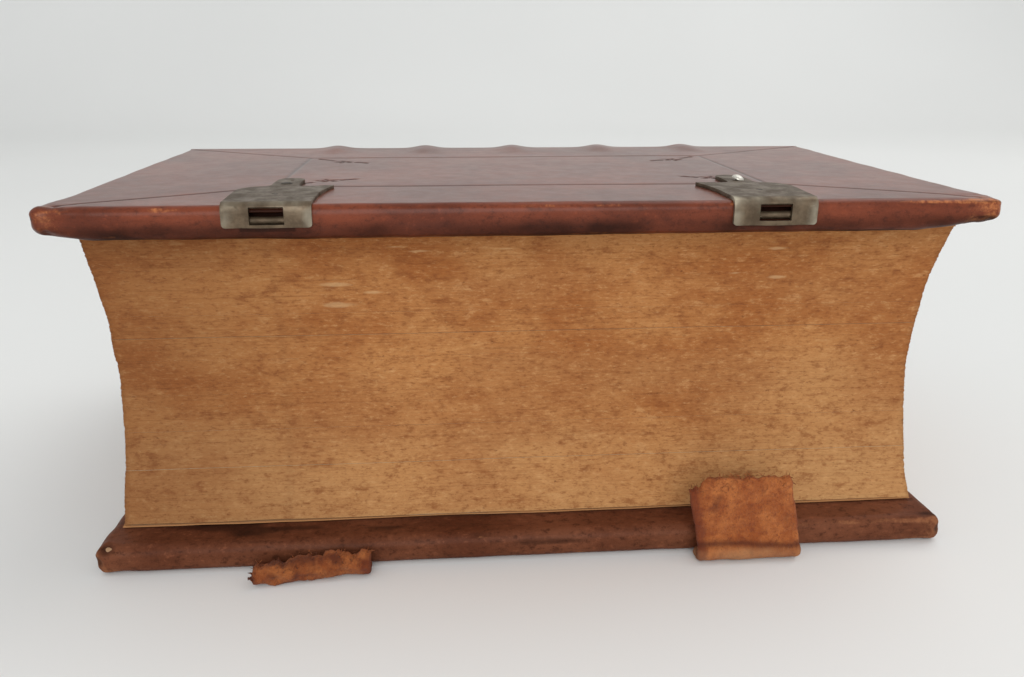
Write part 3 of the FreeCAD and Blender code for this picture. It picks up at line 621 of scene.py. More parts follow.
def covered_board(name, node, low, high, outer_sign, corner, arris, flare, material, pockets, worn_spots, corner_wear):
    """One covered board: a slab with worn corners, swellings over the cord slips and blind tooling outside."""
    fine, coarse, zone = 0.36 * MM, 0.76 * MM, 2.9 * MM
    xs = edged(HALF_LENGTH, zone, fine, coarse)
    ys = edged((BOARD_BACK - FORE_EDGE) / 2, zone, fine, coarse) + (FORE_EDGE + BOARD_BACK) / 2
    zs = spaced(low, high, 0.4 * MM)
    points, faces = box_grid(xs, ys, zs)
    points = round_slab(points, low, high, corner, arris)
    if outer_sign > 0:
        thin_corners(points, low, high)
    reach = np.hypot(np.abs(points[:, 0]) - HALF_LENGTH, points[:, 1] - FORE_EDGE)
    points[:, 0] += np.sign(points[:, 0]) * smooth(reach, 14 * MM, 0) * flare
    board = new_object(name, points, faces)
    outside = high if outer_sign > 0 else low

    def tooled(middles):
        return (np.abs(middles[:, 2] - outside) < 0.6 * MM) & (
            (fillet_lines(middles[:, :2]) < 0.8 * MM) | (corner_stamps(middles[:, :2]) > 0)
        )

    refine(board, tooled, 2)
    for centre, half_width, bottom, top in pockets:
        refine(board, lambda m: (m[:, 1] < FORE_EDGE + 0.4 * MM) & (np.abs(m[:, 0] - centre) < half_width + MM), 1)
    points = coordinates(board)
    facing = normals(board)
    outer = smooth(outer_sign * facing[:, 2], 0.6, 0.95)
    inside, _ = plan_outline(points, corner)
    lines = np.exp(-(fillet_lines(points[:, :2]) / (0.42 * MM)) ** 2)
    stamps = corner_stamps(points[:, :2])
    tooling = np.maximum(lines * 0.9, stamps) * outer
    undulation = noise(points, 34 * MM, 3) * 0.07 * MM + noise(points, 7 * MM, 5) * 0.025 * MM
    lumps = noise(points * (1, 1, 0.4), 6 * MM, 8, 2) * smooth(inside, 3 * MM, 0) * 0.08 * MM
    corner_near = smooth(np.hypot(np.abs(points[:, 0]) - HALF_LENGTH, points[:, 1] - FORE_EDGE), 11 * MM, 1 * MM)
    knobs = (noise(points, 2.6 * MM, 14, 2) * 0.24 - 0.1) * corner_near * MM
    turned_in = smooth(-outer_sign * (points[:, 2] - (low + high) / 2), 0, 2 * MM) * smooth(inside, 4 * MM, 0)
    knobs += noise(points, (7 * MM, 3 * MM, 3 * MM), 17, 3) * turned_in * 0.1 * MM
    worn = hollows(points, worn_spots)
    rise = np.maximum(undulation + lumps + knobs - worn * 0.42 * MM, -0.42 * MM)
    rise *= smooth(points[:, 1], SPINE_EDGE - 0.5 * MM, SPINE_EDGE - 4 * MM)
    push(board, rise - tooling * 0.16 * MM + slip_humps(points) * outer * 0.75 * MM)
    rest_on_table(board)
    for pocket in pockets:
        sink_pocket(board, *pocket)
    # Painted shade in the pockets behind the catch plates' windows; darker also in the worn hollows.
    dark = np.maximum(worn * 0.75, pocket_shade(points, pockets))
    edge_wear(board, points, facing, inside, outer, dark, corner_wear)
    mark(board, "tooling", tooling)
    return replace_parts(dress(board, material), node)


def rest_on_table(item):
    """Flatten what would reach below the table."""
    points = coordinates(item)
    points[:, 2] = np.maximum(points[:, 2], 0)
    move_points(item, points)


def sink_pocket(board, centre, half_width, bottom, top):
    """The hollow behind a catch plate's window."""
    points = coordinates(board)
    front = points[:, 1] < FORE_EDGE + 1.2 * MM
    across = smooth(half_width - np.abs(points[:, 0] - centre), -0.2 * MM, 0.4 * MM)
    upright = smooth(points[:, 2], bottom - 0.1 * MM, bottom + 0.4 * MM) * smooth(points[:, 2], top + 0.1 * MM, top - 0.4 * MM)
    points[:, 1] += np.where(front, across * upright * 3.0 * MM, 0)
    move_points(board, points)


def pocket_shade(points, pockets):
    """Where the leather is sunk behind a catch plate's window, to be painted with the shade of that recess."""
    share = np.zeros(len(points))
    for centre, half_width, bottom, top in pockets:
        within = np.abs(points[:, 0] - centre) < half_width + 0.5 * MM
        inside = within & (points[:, 2] > bottom - 0.9 * MM) & (points[:, 2] < top + 0.6 * MM)
        share = np.maximum(share, inside & (points[:, 1] < FORE_EDGE + 6 * MM))
    return share


def edge_wear(board, points, facing, inside, outer, dark, corner_wear):
    """Mark where the leather is rubbed through, and where it is grimy or painted with shade."""
    flat = np.maximum.reduce([np.abs(facing[:, axis]) for axis in range(3)])
    away_from_spine = smooth(points[:, 1], SPINE_EDGE - 2 * MM, SPINE_EDGE - 6 * MM)
    arris = smooth(flat, 0.97, 0.78) * away_from_spine
    fore = smooth(points[:, 1], FORE_EDGE + 12 * MM, FORE_EDGE)
    ends = smooth(np.abs(points[:, 0]), HALF_LENGTH - 10 * MM, HALF_LENGTH)
    front = smooth(-facing[:, 1], 0.4, 0.9)
    head_side = smooth(points[:, 0], 30 * MM, 60 * MM) * outer_arris(points, facing)
    patches = noise(points, 9 * MM, 21, 4)
    scrapes = noise(points, (5 * MM, 1.2 * MM, 1.2 * MM), 23, 3)
    wear = arris * (0.2 + 0.4 * patches) + fore * ends * (corner_wear + 0.4 * patches) + head_side * 0.34
    wear += smooth(scrapes + 0.5 * patches, 0.75, 1.3) * smooth(inside, 6 * MM, 1 * MM) * 0.4 + front * 0.14
    mark(board, "wear", np.clip(wear, 0, 1))
    # Dark streaks on the edges and inner side: creases, part grime and part painted shade.
    crease_and_shade = smooth(noise(points, (14 * MM, 3 * MM, 2 * MM), 29, 3), 0.55, 1.1) * (1 - outer) * 0.8
    bottom = points[:, 2].min()
    if bottom > MIDDLE:
        # Painted shade, with some grime, low on the upper board's edges where they round under.
        under = smooth(points[:, 2], bottom + 4.0 * MM, bottom + 1.6 * MM) * (1 - outer) * smooth(inside, 4 * MM, 2 * MM)
        under *= 0.75 + 0.4 * patches
        end_line = arris * smooth(np.abs(points[:, 0]), HALF_LENGTH - 3.5 * MM, HALF_LENGTH - 1 * MM) * (1 - fore)
        crease_and_shade = np.maximum(crease_and_shade + under, end_line * 0.8)
    mark(board, "grime_and_shade", np.clip(np.maximum(crease_and_shade, dark), 0, 1))


def outer_arris(points, facing):
    """The fore-edge's rounded arris on the side that faces up."""
    return smooth(facing[:, 2], 0.25, 0.7) * smooth(-facing[:, 1], 0.25, 0.7)


PLATE_ENDS = ("head", "tail")


def plate_centre(end):
    low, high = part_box(end + "_catch_plate")
    return (low.x + high.x) / 2


def pocket_of(end):
    bar_low, bar_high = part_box(end + "_catch_bar")
    return plate_centre(end), (bar_high.x - bar_low.x) / 2, bar_low.z - 0.1 * MM, UPPER_HIGH.z - 1.2 * MM


UPPER_HOLLOWS = (
    ((-HALF_LENGTH + 4.0 * MM, FORE_EDGE + 1.2 * MM, TOP - 0.8 * MM), 1.1 * MM),
    ((-HALF_LENGTH + 1.4 * MM, FORE_EDGE + 0.6 * MM, TOP - 4.6 * MM), 1.2 * MM),
    ((HALF_LENGTH - 1.0 * MM, FORE_EDGE + 0.4 * MM, TOP - 5.0 * MM), 1.3 * MM),
)
LOWER_HOLLOWS = (
    ((-HALF_LENGTH + 1.9 * MM, FORE_EDGE + 1.3 * MM, BOARD - 0.7 * MM), 1.9 * MM),
    ((-HALF_LENGTH + 0.2 * MM, FORE_EDGE + 0.6 * MM, BOARD - 2.9 * MM), 1.6 * MM),
    ((HALF_LENGTH - 0.3 * MM, FORE_EDGE + 0.8 * MM, BOARD - 3.0 * MM), 1.5 * MM),
)
upper_board = covered_board(
    "upper_cover", "upper_cover_leather", UPPER_LOW.z, UPPER_HIGH.z, 1, 1.9 * MM, 1.7 * MM, 1.5 * MM, UPPER_LEATHER,
    [pocket_of(end) for end in PLATE_ENDS], UPPER_HOLLOWS, 0.62,
)
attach(upper_board, "upper_cover")
lower_board = covered_board(
    "lower_cover", "lower_cover_leather", LOWER_LOW.z, LOWER_HIGH.z, -1, 2.0 * MM, 2.4 * MM, 0.7 * MM, LOWER_LEATHER,
    [], LOWER_HOLLOWS, 0.3,
)
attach(lower_board, "lower_cover")

# ---------------------------------------------------------------- text block

LEAVES = 16


def text_outline(z, inset_fore, inset_ends, pitch):
    """One leaf's outline at height z, and the share of each point that lies on the trimmed edges."""
    drop = math.sqrt(TEXT_RADIUS ** 2 - (z - MIDDLE) ** 2)
    spine = ARC_CENTRE + drop
    fore = spine - LEAF_WIDTH + inset_fore
    half = HALF_LEAF - inset_ends
    xs = np.linspace(-1, 1, int(2 * HALF_LEAF / pitch))[:-1]
    ys = np.linspace(0, 1, int(LEAF_WIDTH / pitch))[:-1]
    back = np.linspace(1, -1, 40)[:-1]
    front_row = np.column_stack([xs * half, np.full(len(xs), fore)])
    head_row = np.column_stack([np.full(len(ys), half), fore + ys * (spine - fore)])
    spine_row = np.column_stack([back * half, np.full(len(back), spine)])
    tail_row = np.column_stack([np.full(len(ys), -half), spine + ys * (fore - spine)])
    ring = np.concatenate([front_row, head_row, spine_row, tail_row])
    return np.column_stack([ring, np.full(len(ring), z)])


def gathering(number, node):
    """One gathering with every leaf edge as a small ridge of its own."""
    low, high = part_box(node)
    chance = np.random.default_rng(500 + number)
    step = (high.z - low.z) / LEAVES
    rings, valleys = [], []
    for leaf in range(LEAVES):
        fore_inset = abs(chance.normal(0, 0.035)) * MM
        end_inset = abs(chance.normal(0, 0.06)) * MM
        if chance.random() < 0.03:
            fore_inset += 0.09 * MM
        base = low.z + leaf * step
        rings.append(text_outline(base, fore_inset + 0.06 * MM, end_inset + 0.08 * MM, 1.35 * MM))
        rings.append(text_outline(base + 0.5 * step, fore_inset, end_inset, 1.35 * MM))
        valleys += [1, 0]
    rings.append(text_outline(high.z, 0.07 * MM, 0.09 * MM, 1.35 * MM))
    valleys.append(1)
    count = len(rings[0])
    points = np.concatenate(rings)
    edge = np.repeat(valleys, count)
    wobble = noise(points, (11 * MM, 11 * MM, 0.5 * MM), 40, 2) * 0.06 * MM
    swell = noise(points, (30 * MM, 30 * MM, 6 * MM), 90, 2) * 0.16 * MM
    inward = wobble + swell
    on_fore = points[:, 1] < SHOULDER - LEAF_WIDTH + 9.5 * MM
    points[:, 1] += np.where(on_fore, np.maximum(inward + 0.16 * MM, 0), 0)
    on_ends = np.abs(points[:, 0]) > HALF_LEAF - 0.6 * MM
    points[:, 0] -= np.where(on_ends, np.sign(points[:, 0]) * np.maximum(inward + 0.1 * MM, 0), 0)
    if number == 1:
        lift = smooth(points[:, 2], low.z + 5 * step, low.z) * smooth(points[:, 1], SHOULDER - LEAF_WIDTH + 30 * MM, LEAF_LOW.y)
        points[:, 2] += lift * (0.16 + 0.16 * noise(points, 13 * MM, 77, 2)) * MM
    side = grid_faces(len(rings), count, closed=True)
    caps = [list(range(count))[::-1], list(range(len(points) - count, len(points)))]
    item = new_object(f"gathering_{number:02d}_leaves", points, list(side) + caps)
    for cap in (item.data.polygons[-1], item.data.polygons[-2]):
        cap.use_smooth = False
        cap.material_index = 1
    mark(item, "pale", pale_rubs(points))
    mark(item, "fade", text_fade(points))
    # Painted shade in the grooves between leaves, plus the darkening from the function below.
    mark(item, "grime_and_shade", np.clip(edge * 0.16 + fore_edge_grime_and_shade(points), 0, 1))
    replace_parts(dress(item, LEAF_EDGES, LEAF_PAPER), node)
    return item


# Pale rubs on the fore-edge: place along the book, height, half length and half height in millimetres.
PALE_RUBS = ((-37.5, 54.5, 4.5, 0.7), (-37.0, 50.0, 5.0, 0.9), (-30.5, 52.6, 2.6, 0.5), (-21.0, 61.5, 3.2, 0.4),
             (-25.5, 62.5, 3.0, 0.3), (-5.0, 61.8, 3.4, 0.3), (48.0, 61.0, 2.8, 0.5), (50.0, 54.5, 2.6, 0.6),
             (41.0, 55.6, 1.8, 0.4))
KNIFE_MARKS = (-49.0, -24.0, 12.0)


def pale_rubs(points):
    """Pale patches rubbed on the upper part of the fore-edge."""
    rub = np.zeros(len(points))
    for x, z, wide, tall in PALE_RUBS:
        spread = ((points[:, 0] - x * MM) / (wide * MM)) ** 2 + ((points[:, 2] - z * MM) / (tall * MM)) ** 2
        rub = np.maximum(rub, np.exp(-spread))
    rim = smooth(np.abs(points[:, 0]), HALF_LEAF - 1.2 * MM, HALF_LEAF) * 0.55
    return np.maximum(rub, rim * (points[:, 1] < 0))


def text_fade(points):
    """How far the stain has faded: most low down and towards the head."""
    low = smooth(points[:, 2], 38 * MM, TEXT_LOW) * 0.55
    head = smooth(points[:, 0], 10 * MM, HALF_LEAF) * 0.18
    rim = smooth(points[:, 2], TEXT_LOW + 1.2 * MM, TEXT_LOW) * 0.3
    patches = noise(points, (30 * MM, 30 * MM, 11 * MM), 67, 3) * 0.22
    return np.clip(low + head + rim + patches, 0, 1)


def fore_edge_grime_and_shade(points):
    """Darker colour on the fore-edge: towards the tail, painted shade under the upper board, along a few leaves and at
    the knife marks.
    """
    tail = smooth(points[:, 0], -22 * MM, -HALF_LEAF) * 0.58
    upper = smooth(points[:, 2], TEXT_HIGH - 9 * MM, TEXT_HIGH) * 0.12
    joins = smooth(noise(points, (45 * MM, 45 * MM, 0.9 * MM), 61, 2), 0.85, 1.3) * 0.4
    marks = sum(np.exp(-((points[:, 0] - x * MM) / (0.5 * MM)) ** 2) for x in KNIFE_MARKS) * 0.12
    return tail + upper + joins + marks


for number, node in enumerate(GATHERINGS, start=1):
    body = "pages_back" if number <= len(GATHERINGS) // 2 else "pages_front"
    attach(gathering(number, node), body)

# ---------------------------------------------------------------- endpapers


def paper_sheet(name, node, body, ripple, sign):
    """A flyleaf or pastedown: a thin sheet with soft ripples and an uneven edge."""
    low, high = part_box(node)
    xs = spaced(low.x, high.x, 1.5 * MM)
    ys = spaced(low.y, high.y, 1.5 * MM)
    points, faces = box_grid(xs, ys, np.array([low.z, high.z]))
    fore = smooth(points[:, 1], low.y + 20 * MM, low.y)
    points[:, 1] += fore * (0.25 + 0.25 * noise(points * (1, 1, 0), 16 * MM, 31, 3)) * MM
    points[:, 2] += sign * fore * ripple * np.abs(noise(points * (1, 1, 0), (17 * MM, 40 * MM, MM), 33, 2)) * MM
    sheet = new_object(name, points, faces, shade_smooth=False)
    rim = np.minimum(HALF_LEAF - np.abs(points[:, 0]), points[:, 1] - points[:, 1].min())
    mark(sheet, "stain", smooth(rim, 2.2 * MM, 0.4 * MM) * 0.95 if ripple else smooth(rim, 2 * MM, 0) * 0.2)
    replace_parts(dress(sheet, ENDPAPER), node)
    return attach(sheet, body)


paper_sheet("lower_flyleaf_paper", "lower_flyleaf", "lower_flyleaf_sheet", 0.05, 1)
paper_sheet("upper_flyleaf_paper", "upper_flyleaf", "upper_flyleaf_sheet", 0.05, -1)
paper_sheet("lower_pastedown_paper", "lower_pastedown", "lower_cover", 0.0, 1)
paper_sheet("upper_pastedown_paper", "upper_pastedown", "upper_cover", 0.0, 1)

# ---------------------------------------------------------------- spine


def spine_section():
    """The spine's section along the book: (x, radius) of the outer and inner skins, out and back."""
    xs = edged(HALF_LENGTH, 3 * MM, 0.2 * MM, 0.75 * MM)
    cap = 1.4 * MM
    beyond = np.maximum(np.abs(xs) - (HALF_LENGTH - cap), 0)
    outer = np.column_stack([xs, LEATHER_RADIUS - cap + np.sqrt(cap ** 2 - beyond ** 2)])
    lip = HALF_LENGTH - 1.1 * MM
    back = np.linspace(lip, -lip, 60)
    inner = np.column_stack([back, np.full(len(back), TEXT_RADIUS + 0.12 * MM)])
    low = TEXT_RADIUS - 2.1 * MM
    head = np.array([[HALF_LENGTH, LEATHER_RADIUS - 1.9 * MM], [HALF_LENGTH - 0.25 * MM, low], [lip, low]])
    tail = head[::-1] * (-1, 1)
    return np.concatenate([outer, head, inner, tail]), len(outer)


SPINE_REACH = math.asin((MIDDLE - 0.5 * MM) / (LEATHER_RADIUS - 0.3 * MM))
SPINE_CUTS = [-SPINE_REACH] + [math.asin(h / LEATHER_RADIUS) for h in (-12 * MM, 12 * MM)] + [SPINE_REACH]


def grid_normals(grid):
    """The skin's own normals on all rows but the first and last, whichever piece the rows belong to."""
    along = grid[2:] - grid[:-2]
    across = (np.roll(grid, -1, axis=1) - np.roll(grid, 1, axis=1))[1:-1]
    facing = np.cross(along, across).reshape(-1, 3)
    return facing / np.linalg.norm(facing, axis=1)[:, None]


def shade_with(item, facing, flat_faces):
    """Shade with the given normals, so that neighbouring pieces look like one skin; the last faces stay flat."""
    mesh = item.data
    corners = np.empty(len(mesh.loops), np.int32)
    mesh.loops.foreach_get("vertex_index", corners)
    shading = facing[corners]
    for face in mesh.polygons[-flat_faces:]:
        shading[face.loop_start:face.loop_start + face.loop_total] = face.normal
    mesh.normals_split_custom_set(shading.tolist())


def spine_strip(name, first_turn, last_turn):
    """Part of the spine between two angles about its centre line, with the raised bands across it."""
    section, outer_count = spine_section()
    turns = np.linspace(first_turn, last_turn, int((last_turn - first_turn) * LEATHER_RADIUS / (0.8 * MM)))
    step = turns[1] - turns[0]
    turns = np.concatenate([[first_turn - step], turns, [last_turn + step]])
    band = sum(np.exp(-np.abs((section[:, 0] - x) / (2.5 * MM)) ** 3.2) for x in CORD_X)
    nip = sum(np.exp(-((np.abs(section[:, 0] - x) - 3.6 * MM) / (0.9 * MM)) ** 2) for x in CORD_X)
    lines = sum(np.exp(-((np.abs(section[:, 0] - x) - 6.0 * MM) / (0.35 * MM)) ** 2) for x in CORD_X)
    outer_part = np.arange(len(section)) < outer_count
    rows, tooled = [], []
    for turn in turns:
        to_end = (SPINE_REACH - abs(turn)) * LEATHER_RADIUS
        height = 2.1 * smooth(to_end, 0.0, 9 * MM) + 0.6
        pinch = smooth(to_end, 2.4 * MM, 0.0) * 0.3 * MM
        shift = np.where(outer_part, band * height * MM - nip * 0.16 * MM - lines * 0.14 * MM - pinch, 0)
        radius = section[:, 1] + shift
        rows.append(np.column_stack([section[:, 0], ARC_CENTRE + radius * math.cos(turn), MIDDLE + radius * math.sin(turn)]))
        tooled.append(np.where(outer_part, lines, 0))
    points = np.concatenate(rows)
    outer_all = np.tile(outer_part, len(rows))
    away = points - (0, ARC_CENTRE, MIDDLE)
    away[:, 0] = 0
    away /= np.linalg.norm(away, axis=1)[:, None]
    dents = noise(points, 14 * MM, 51) * 0.12 * MM + noise(points, 4 * MM, 53) * 0.04 * MM
    points += away * np.where(outer_all, dents, 0)[:, None]
    count = len(section)
    facing = grid_normals(points.reshape(len(rows), count, 3))
    points = points[count:-count]
    rows, tooled = rows[1:-1], tooled[1:-1]
    faces = list(grid_faces(len(rows), count, closed=True)[:, ::-1])
    faces += [list(range(count)), list(range(len(points) - count, len(points)))[::-1]]
    strip = new_object(name, points, faces)
    shade_with(strip, facing, 2)
    crest = np.tile(np.where(outer_part, smooth(band, 0.6, 1.0), 0), len(rows))
    patches = noise(points, 8 * MM, 57, 4)
    caps = smooth(np.abs(points[:, 0]), HALF_LENGTH - 4 * MM, HALF_LENGTH - 0.8 * MM)
    end_faces = smooth(np.abs(points[:, 0]), HALF_LENGTH - 0.7 * MM, HALF_LENGTH - 0.1 * MM)
    mark(strip, "wear", np.clip(crest * (0.3 + 0.4 * patches) + caps * (0.3 + 0.4 * patches), 0, 1))
    mark(strip, "tooling", np.concatenate(tooled))
    # Painted shade in the nips beside the raised bands; the end faces are darker.
    nip_shade = np.tile(np.where(outer_part, np.clip(nip, 0, 1) * 0.5, 0), len(rows))
    mark(strip, "grime_and_shade", np.maximum(nip_shade, end_faces * 0.7))
    mark_rest(strip)
    dress(strip, SPINE_LEATHER)
    return strip


lower_spine = spine_strip("spine_lower_part", SPINE_CUTS[0], SPINE_CUTS[1])
middle_spine = spine_strip("spine_middle_part", SPINE_CUTS[1], SPINE_CUTS[2])
upper_spine = spine_strip("spine_upper_part", SPINE_CUTS[2], SPINE_CUTS[3])
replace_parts(middle_spine, "spine_leather", "spine_linings", "head_kettle_stitches", "tail_kettle_stitches",
            *(f"sewing_cord_{k}" for k in range(1, 6)))
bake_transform(lower_spine)
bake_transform(middle_spine)
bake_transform(upper_spine)


def endband(end):
    """A wound endband: thread lapped round a core along the spine's curve."""
    low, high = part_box(end + "_endband")
    centre_x = (low.x + high.x) / 2
    core = (high.x - low.x) / 2
    orbit = TEXT_RADIUS - 0.6 * MM
    reach = math.asin(min(0.99, (high.z - low.z) / 2 / orbit))
    turns = np.linspace(-reach, reach, 420)
    around = np.linspace(0, 2 * math.pi, 14, endpoint=False)
    lap = 0.5 * MM
    rows = []
    for turn in turns:
        phase = turn * orbit / lap * 2 * math.pi
        radius = core * (0.9 + 0.1 * np.sin(phase + around))
        across = centre_x + radius * np.cos(around)
        out = orbit + radius * np.sin(around)
        rows.append(np.column_stack([across, ARC_CENTRE + out * math.cos(turn), MIDDLE + out * math.sin(turn)]))
    points = np.concatenate(rows)
    count = len(around)
    faces = list(grid_faces(len(rows), count, closed=True))
    faces += [list(range(count))[::-1], list(range(len(points) - count, len(points)))]
    item = new_object(end + "_endband_winding", points, faces)
    mark_rest(item)
    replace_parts(dress(item, ENDBAND_THREAD), end + "_endband")
    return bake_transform(item)


for end in PLATE_ENDS:
    endband(end)

# ---------------------------------------------------------------- catch plates


def arc(centre, radius, start, stop, count):
    """Points on an arc in plan, angles in degrees."""
    turns = np.radians(np.linspace(start, stop, count))
    return np.column_stack([centre[0] + radius * np.cos(turns), centre[1] + radius * np.sin(turns)])


def plate_outline(leg):
    """The flat plate: (inward, along) in millimetres, along 0 at the fold, +inward towards the book's middle."""
    return np.concatenate([
        arc((7.05, -leg + 0.6), 0.6, -90, 0, 5),
        [[7.65, 0.0], [7.6, 4.0], [7.7, 9.0], [8.1, 13.5], [8.8, 17.2], [9.3, 18.9]],
        [[8.4, 19.0], [5.2, 18.3], [3.0, 18.5], [2.6, 19.3]],
        arc((0, 27.1), 2.6, 0, 180, 13),
        [[-2.6, 19.3], [-3.0, 18.5]],
        arc((-3.6, 13.6), 4.5, 88, 176, 10),
        [[-7.9, 8.0], [-7.65, 2.0], [-7.65, 0.0]],
        arc((-7.05, -leg + 0.6), 0.6, 180, 270, 5),
    ])


def ring_points(centre, radius, count=16):
    return arc(centre, radius, 0, 360 - 360 / count, count)


def flat_sheet(loops, pitch):
    """A flat sheet bounded by the first loop, with the other loops as holes, cut into small faces."""
    mesh = bmesh.new()
    edges = []
    for loop in loops:
        corners = [mesh.verts.new((x, y, 0)) for x, y in loop]
        edges += [mesh.edges.new((corners[i - 1], corners[i])) for i in range(len(corners))]
    bmesh.ops.triangle_fill(mesh, use_beauty=True, use_dissolve=False, edges=edges)
    low, high = np.min(loops[0], axis=0), np.max(loops[0], axis=0)
    for axis, direction in ((0, (1, 0, 0)), (1, (0, 1, 0))):
        for level in np.arange(low[axis] + pitch / 2, high[axis], pitch):
            place = [0, 0, 0]
            place[axis] = level
            geometry = mesh.verts[:] + mesh.edges[:] + mesh.faces[:]
            bmesh.ops.bisect_plane(mesh, geom=geometry, plane_co=place, plane_no=direction, dist=1e-5)
    bmesh.ops.recalc_face_normals(mesh, faces=mesh.faces)
    if mesh.faces[:][0].normal.z < 0:
        bmesh.ops.reverse_faces(mesh, faces=mesh.faces)
    points = np.array([vertex.co for vertex in mesh.verts])
    mesh.verts.index_update()
    faces = [[vertex.index for vertex in face.verts] for face in mesh.faces]
    mesh.free()
    return points, faces


def fold_sheet(points, front, top, radius):
    """Fold a flat sheet over the board's fore-edge: below the fold it hangs, above it lies on the board."""
    along = points[:, 1]
    quarter = radius * math.pi / 2
    turn = np.clip((along + quarter / 2) / quarter, 0, 1) * math.pi / 2
    before = np.minimum(along + quarter / 2, 0)
    after = np.maximum(along - quarter / 2, 0)
    y = front + radius - radius * np.cos(turn) + after
    z = top - radius + radius * np.sin(turn) + before
    return np.column_stack([points[:, 0], y, z])


# How far each plate's lower rim stands above the deepest one, in millimetres.
PLATE_RAISED = {"head": 0.0, "tail": 0.6}


def catch_plate(end):
    """Sheet brass folded over the fore-edge, with its window and nail holes, bent to the board's worn arris."""
    centre = plate_centre(end)
    inward = -1 if centre > 0 else 1
    low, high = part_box(end + "_catch_plate")
    thick, bend = 0.7 * MM, 1.15 * MM
    half_fold = bend * math.pi / 4
    leg = (high.z - thick / 2 - bend - low.z + half_fold) / MM - PLATE_RAISED[end]
    window_low = -leg + 0.8 - 0.5 * PLATE_RAISED[end]
    window = np.array([[-2.95, window_low], [2.95, window_low], [2.95, window_low + 2.9], [-2.95, window_low + 2.9]])
    loops = [plate_outline(leg), window, ring_points((0, 8.7), 0.62), ring_points((0, 21.1), 0.62)]
    if end == "tail":
        loops.append(ring_points((0.3, 26.0), 0.42, 10))
    points, faces = flat_sheet([loop * (inward, 1) for loop in loops], 0.8)
    points *= MM
    folded = fold_sheet(points, low.y + thick / 2, high.z - thick / 2, bend)
    folded[:, 2] += noise(folded, 6 * MM, 71, 2) * 0.07 * MM
    folded[:, 1] += noise(folded, 5 * MM, 73, 2) * 0.05 * MM
    folded[:, 0] += centre
    plate = new_object(end + "_catch_plate_sheet", folded, faces)
    rim = smooth(np.abs(points[:, 0]), 5.6 * MM, 7.4 * MM) * smooth(points[:, 1], 3 * MM, 0)
    near_fold = np.exp(-((points[:, 1] - 0.3 * MM) / (0.9 * MM)) ** 2)
    mark(plate, "wear", np.clip((rim * 0.4 + near_fold * 0.25) * (0.6 + noise(folded, 2.5 * MM, 75, 3)), 0, 1))
    solid = plate.modifiers.new("thickness", "SOLIDIFY")
    solid.thickness = thick
    solid.offset = 0
    bevel = plate.modifiers.new("worn_edges", "BEVEL")
    bevel.width = 0.14 * MM
    bevel.segments = 2
    bevel.limit_method = "ANGLE"
    bevel.angle_limit = math.radians(50)
    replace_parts(dress(plate, PLATE_BRASS), end + "_catch_plate")
    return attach(plate, "upper_cover")


def lathe(profile, centre, around=28, rough=0.0, seed=0):
    """A turned piece from its (radius, height) profile, standing on centre."""
    turns = np.linspace(0, 2 * math.pi, around, endpoint=False)
    rows = [np.column_stack([r * np.cos(turns), r * np.sin(turns), np.full(around, z)]) for r, z in profile]
    points = np.concatenate(rows)
    points += (noise(points, 0.6 * MM, seed, 2) * rough)[:, None] * (1, 1, 0.6)
    points += np.array(centre)
    faces = list(grid_faces(len(profile), around, closed=True))
    faces += [list(range(around))[::-1], list(range(len(points) - around, len(points)))]
    return points, faces


def nail_profile(length, dome):
    """A nail from its point up: shank, the flat under the head, and a domed head."""
    head, shank = 1.25 * MM, 0.52 * MM
    sweep = np.radians(np.linspace(8, 84, 7))
    cap = [(head * math.cos(a), dome * math.sin(a)) for a in sweep]
    return [(0.12 * MM, -length), (shank, -length + 0.8 * MM), (shank, -0.02 * MM), (head, 0.0), *cap]


def plate_nails(end):
    """Two nails through each plate. The head-side tongue nail has worked loose and stands up, rubbed bright, its pale
    colour also standing in for the highlight on its head.
    """
    low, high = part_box(end + "_catch_plate")
    centre, top = plate_centre(end), high.z
    edge_y, tongue_y = FORE_EDGE + 8.6 * MM, FORE_EDGE + 21.0 * MM
    sunk = lathe(nail_profile(3.2 * MM, 0.35 * MM), (centre, edge_y, top - 0.3 * MM), rough=0.05 * MM, seed=3)
    tongue = lathe(nail_profile(3.2 * MM, 0.4 * MM), (centre, tongue_y, top - 0.1 * MM), rough=0.05 * MM, seed=5)
    if end == "head":
        points, faces = lathe(nail_profile(3.0 * MM, 0.7 * MM), (0, 0, 0), rough=0.1 * MM, seed=7)
        tilt = np.array(Matrix.Rotation(math.radians(14), 3, "Y") @ Matrix.Rotation(math.radians(9), 3, "X"))
        tongue = points @ tilt.T + (centre, tongue_y, top + 0.3 * MM), faces
    item = new_object(end + "_plate_nail_pair", *merge([sunk, tongue]))
    faces_each = len(sunk[1])
    for face in item.data.polygons[faces_each:]:
        face.material_index = 1
    second = BRIGHT_NAIL if end == "head" else NAIL_BRASS
    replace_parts(dress(item, NAIL_BRASS, second), end + "_plate_nails")
    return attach(item, "upper_cover")


def catch_bar(end):
    """The bar behind the window, worn thin where the hook pulled."""
    low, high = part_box(end + "_catch_bar")
    length, radius = high.x - low.x, (high.y - low.y) / 2
    stations = np.linspace(0, 1, 40)
    profile = [(radius * (1 - 0.1 * math.sin(math.pi * s)) * min(1, 0.75 + 9 * min(s, 1 - s)), s * length) for s in stations]
    points, faces = lathe(profile, (0, 0, 0), around=24, rough=0.025 * MM, seed=11)
    points = points[:, [2, 0, 1]] + (low.x, (low.y + high.y) / 2, (low.z + high.z) / 2)
    bar = new_object(end + "_catch_bar_rod", points, faces)
    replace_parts(dress(bar, PLATE_BRASS), end + "_catch_bar")
    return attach(bar, "upper_cover")


for end in PLATE_ENDS:
    catch_plate(end)
    plate_nails(end)
    catch_bar(end)

# ---------------------------------------------------------------- clasp straps


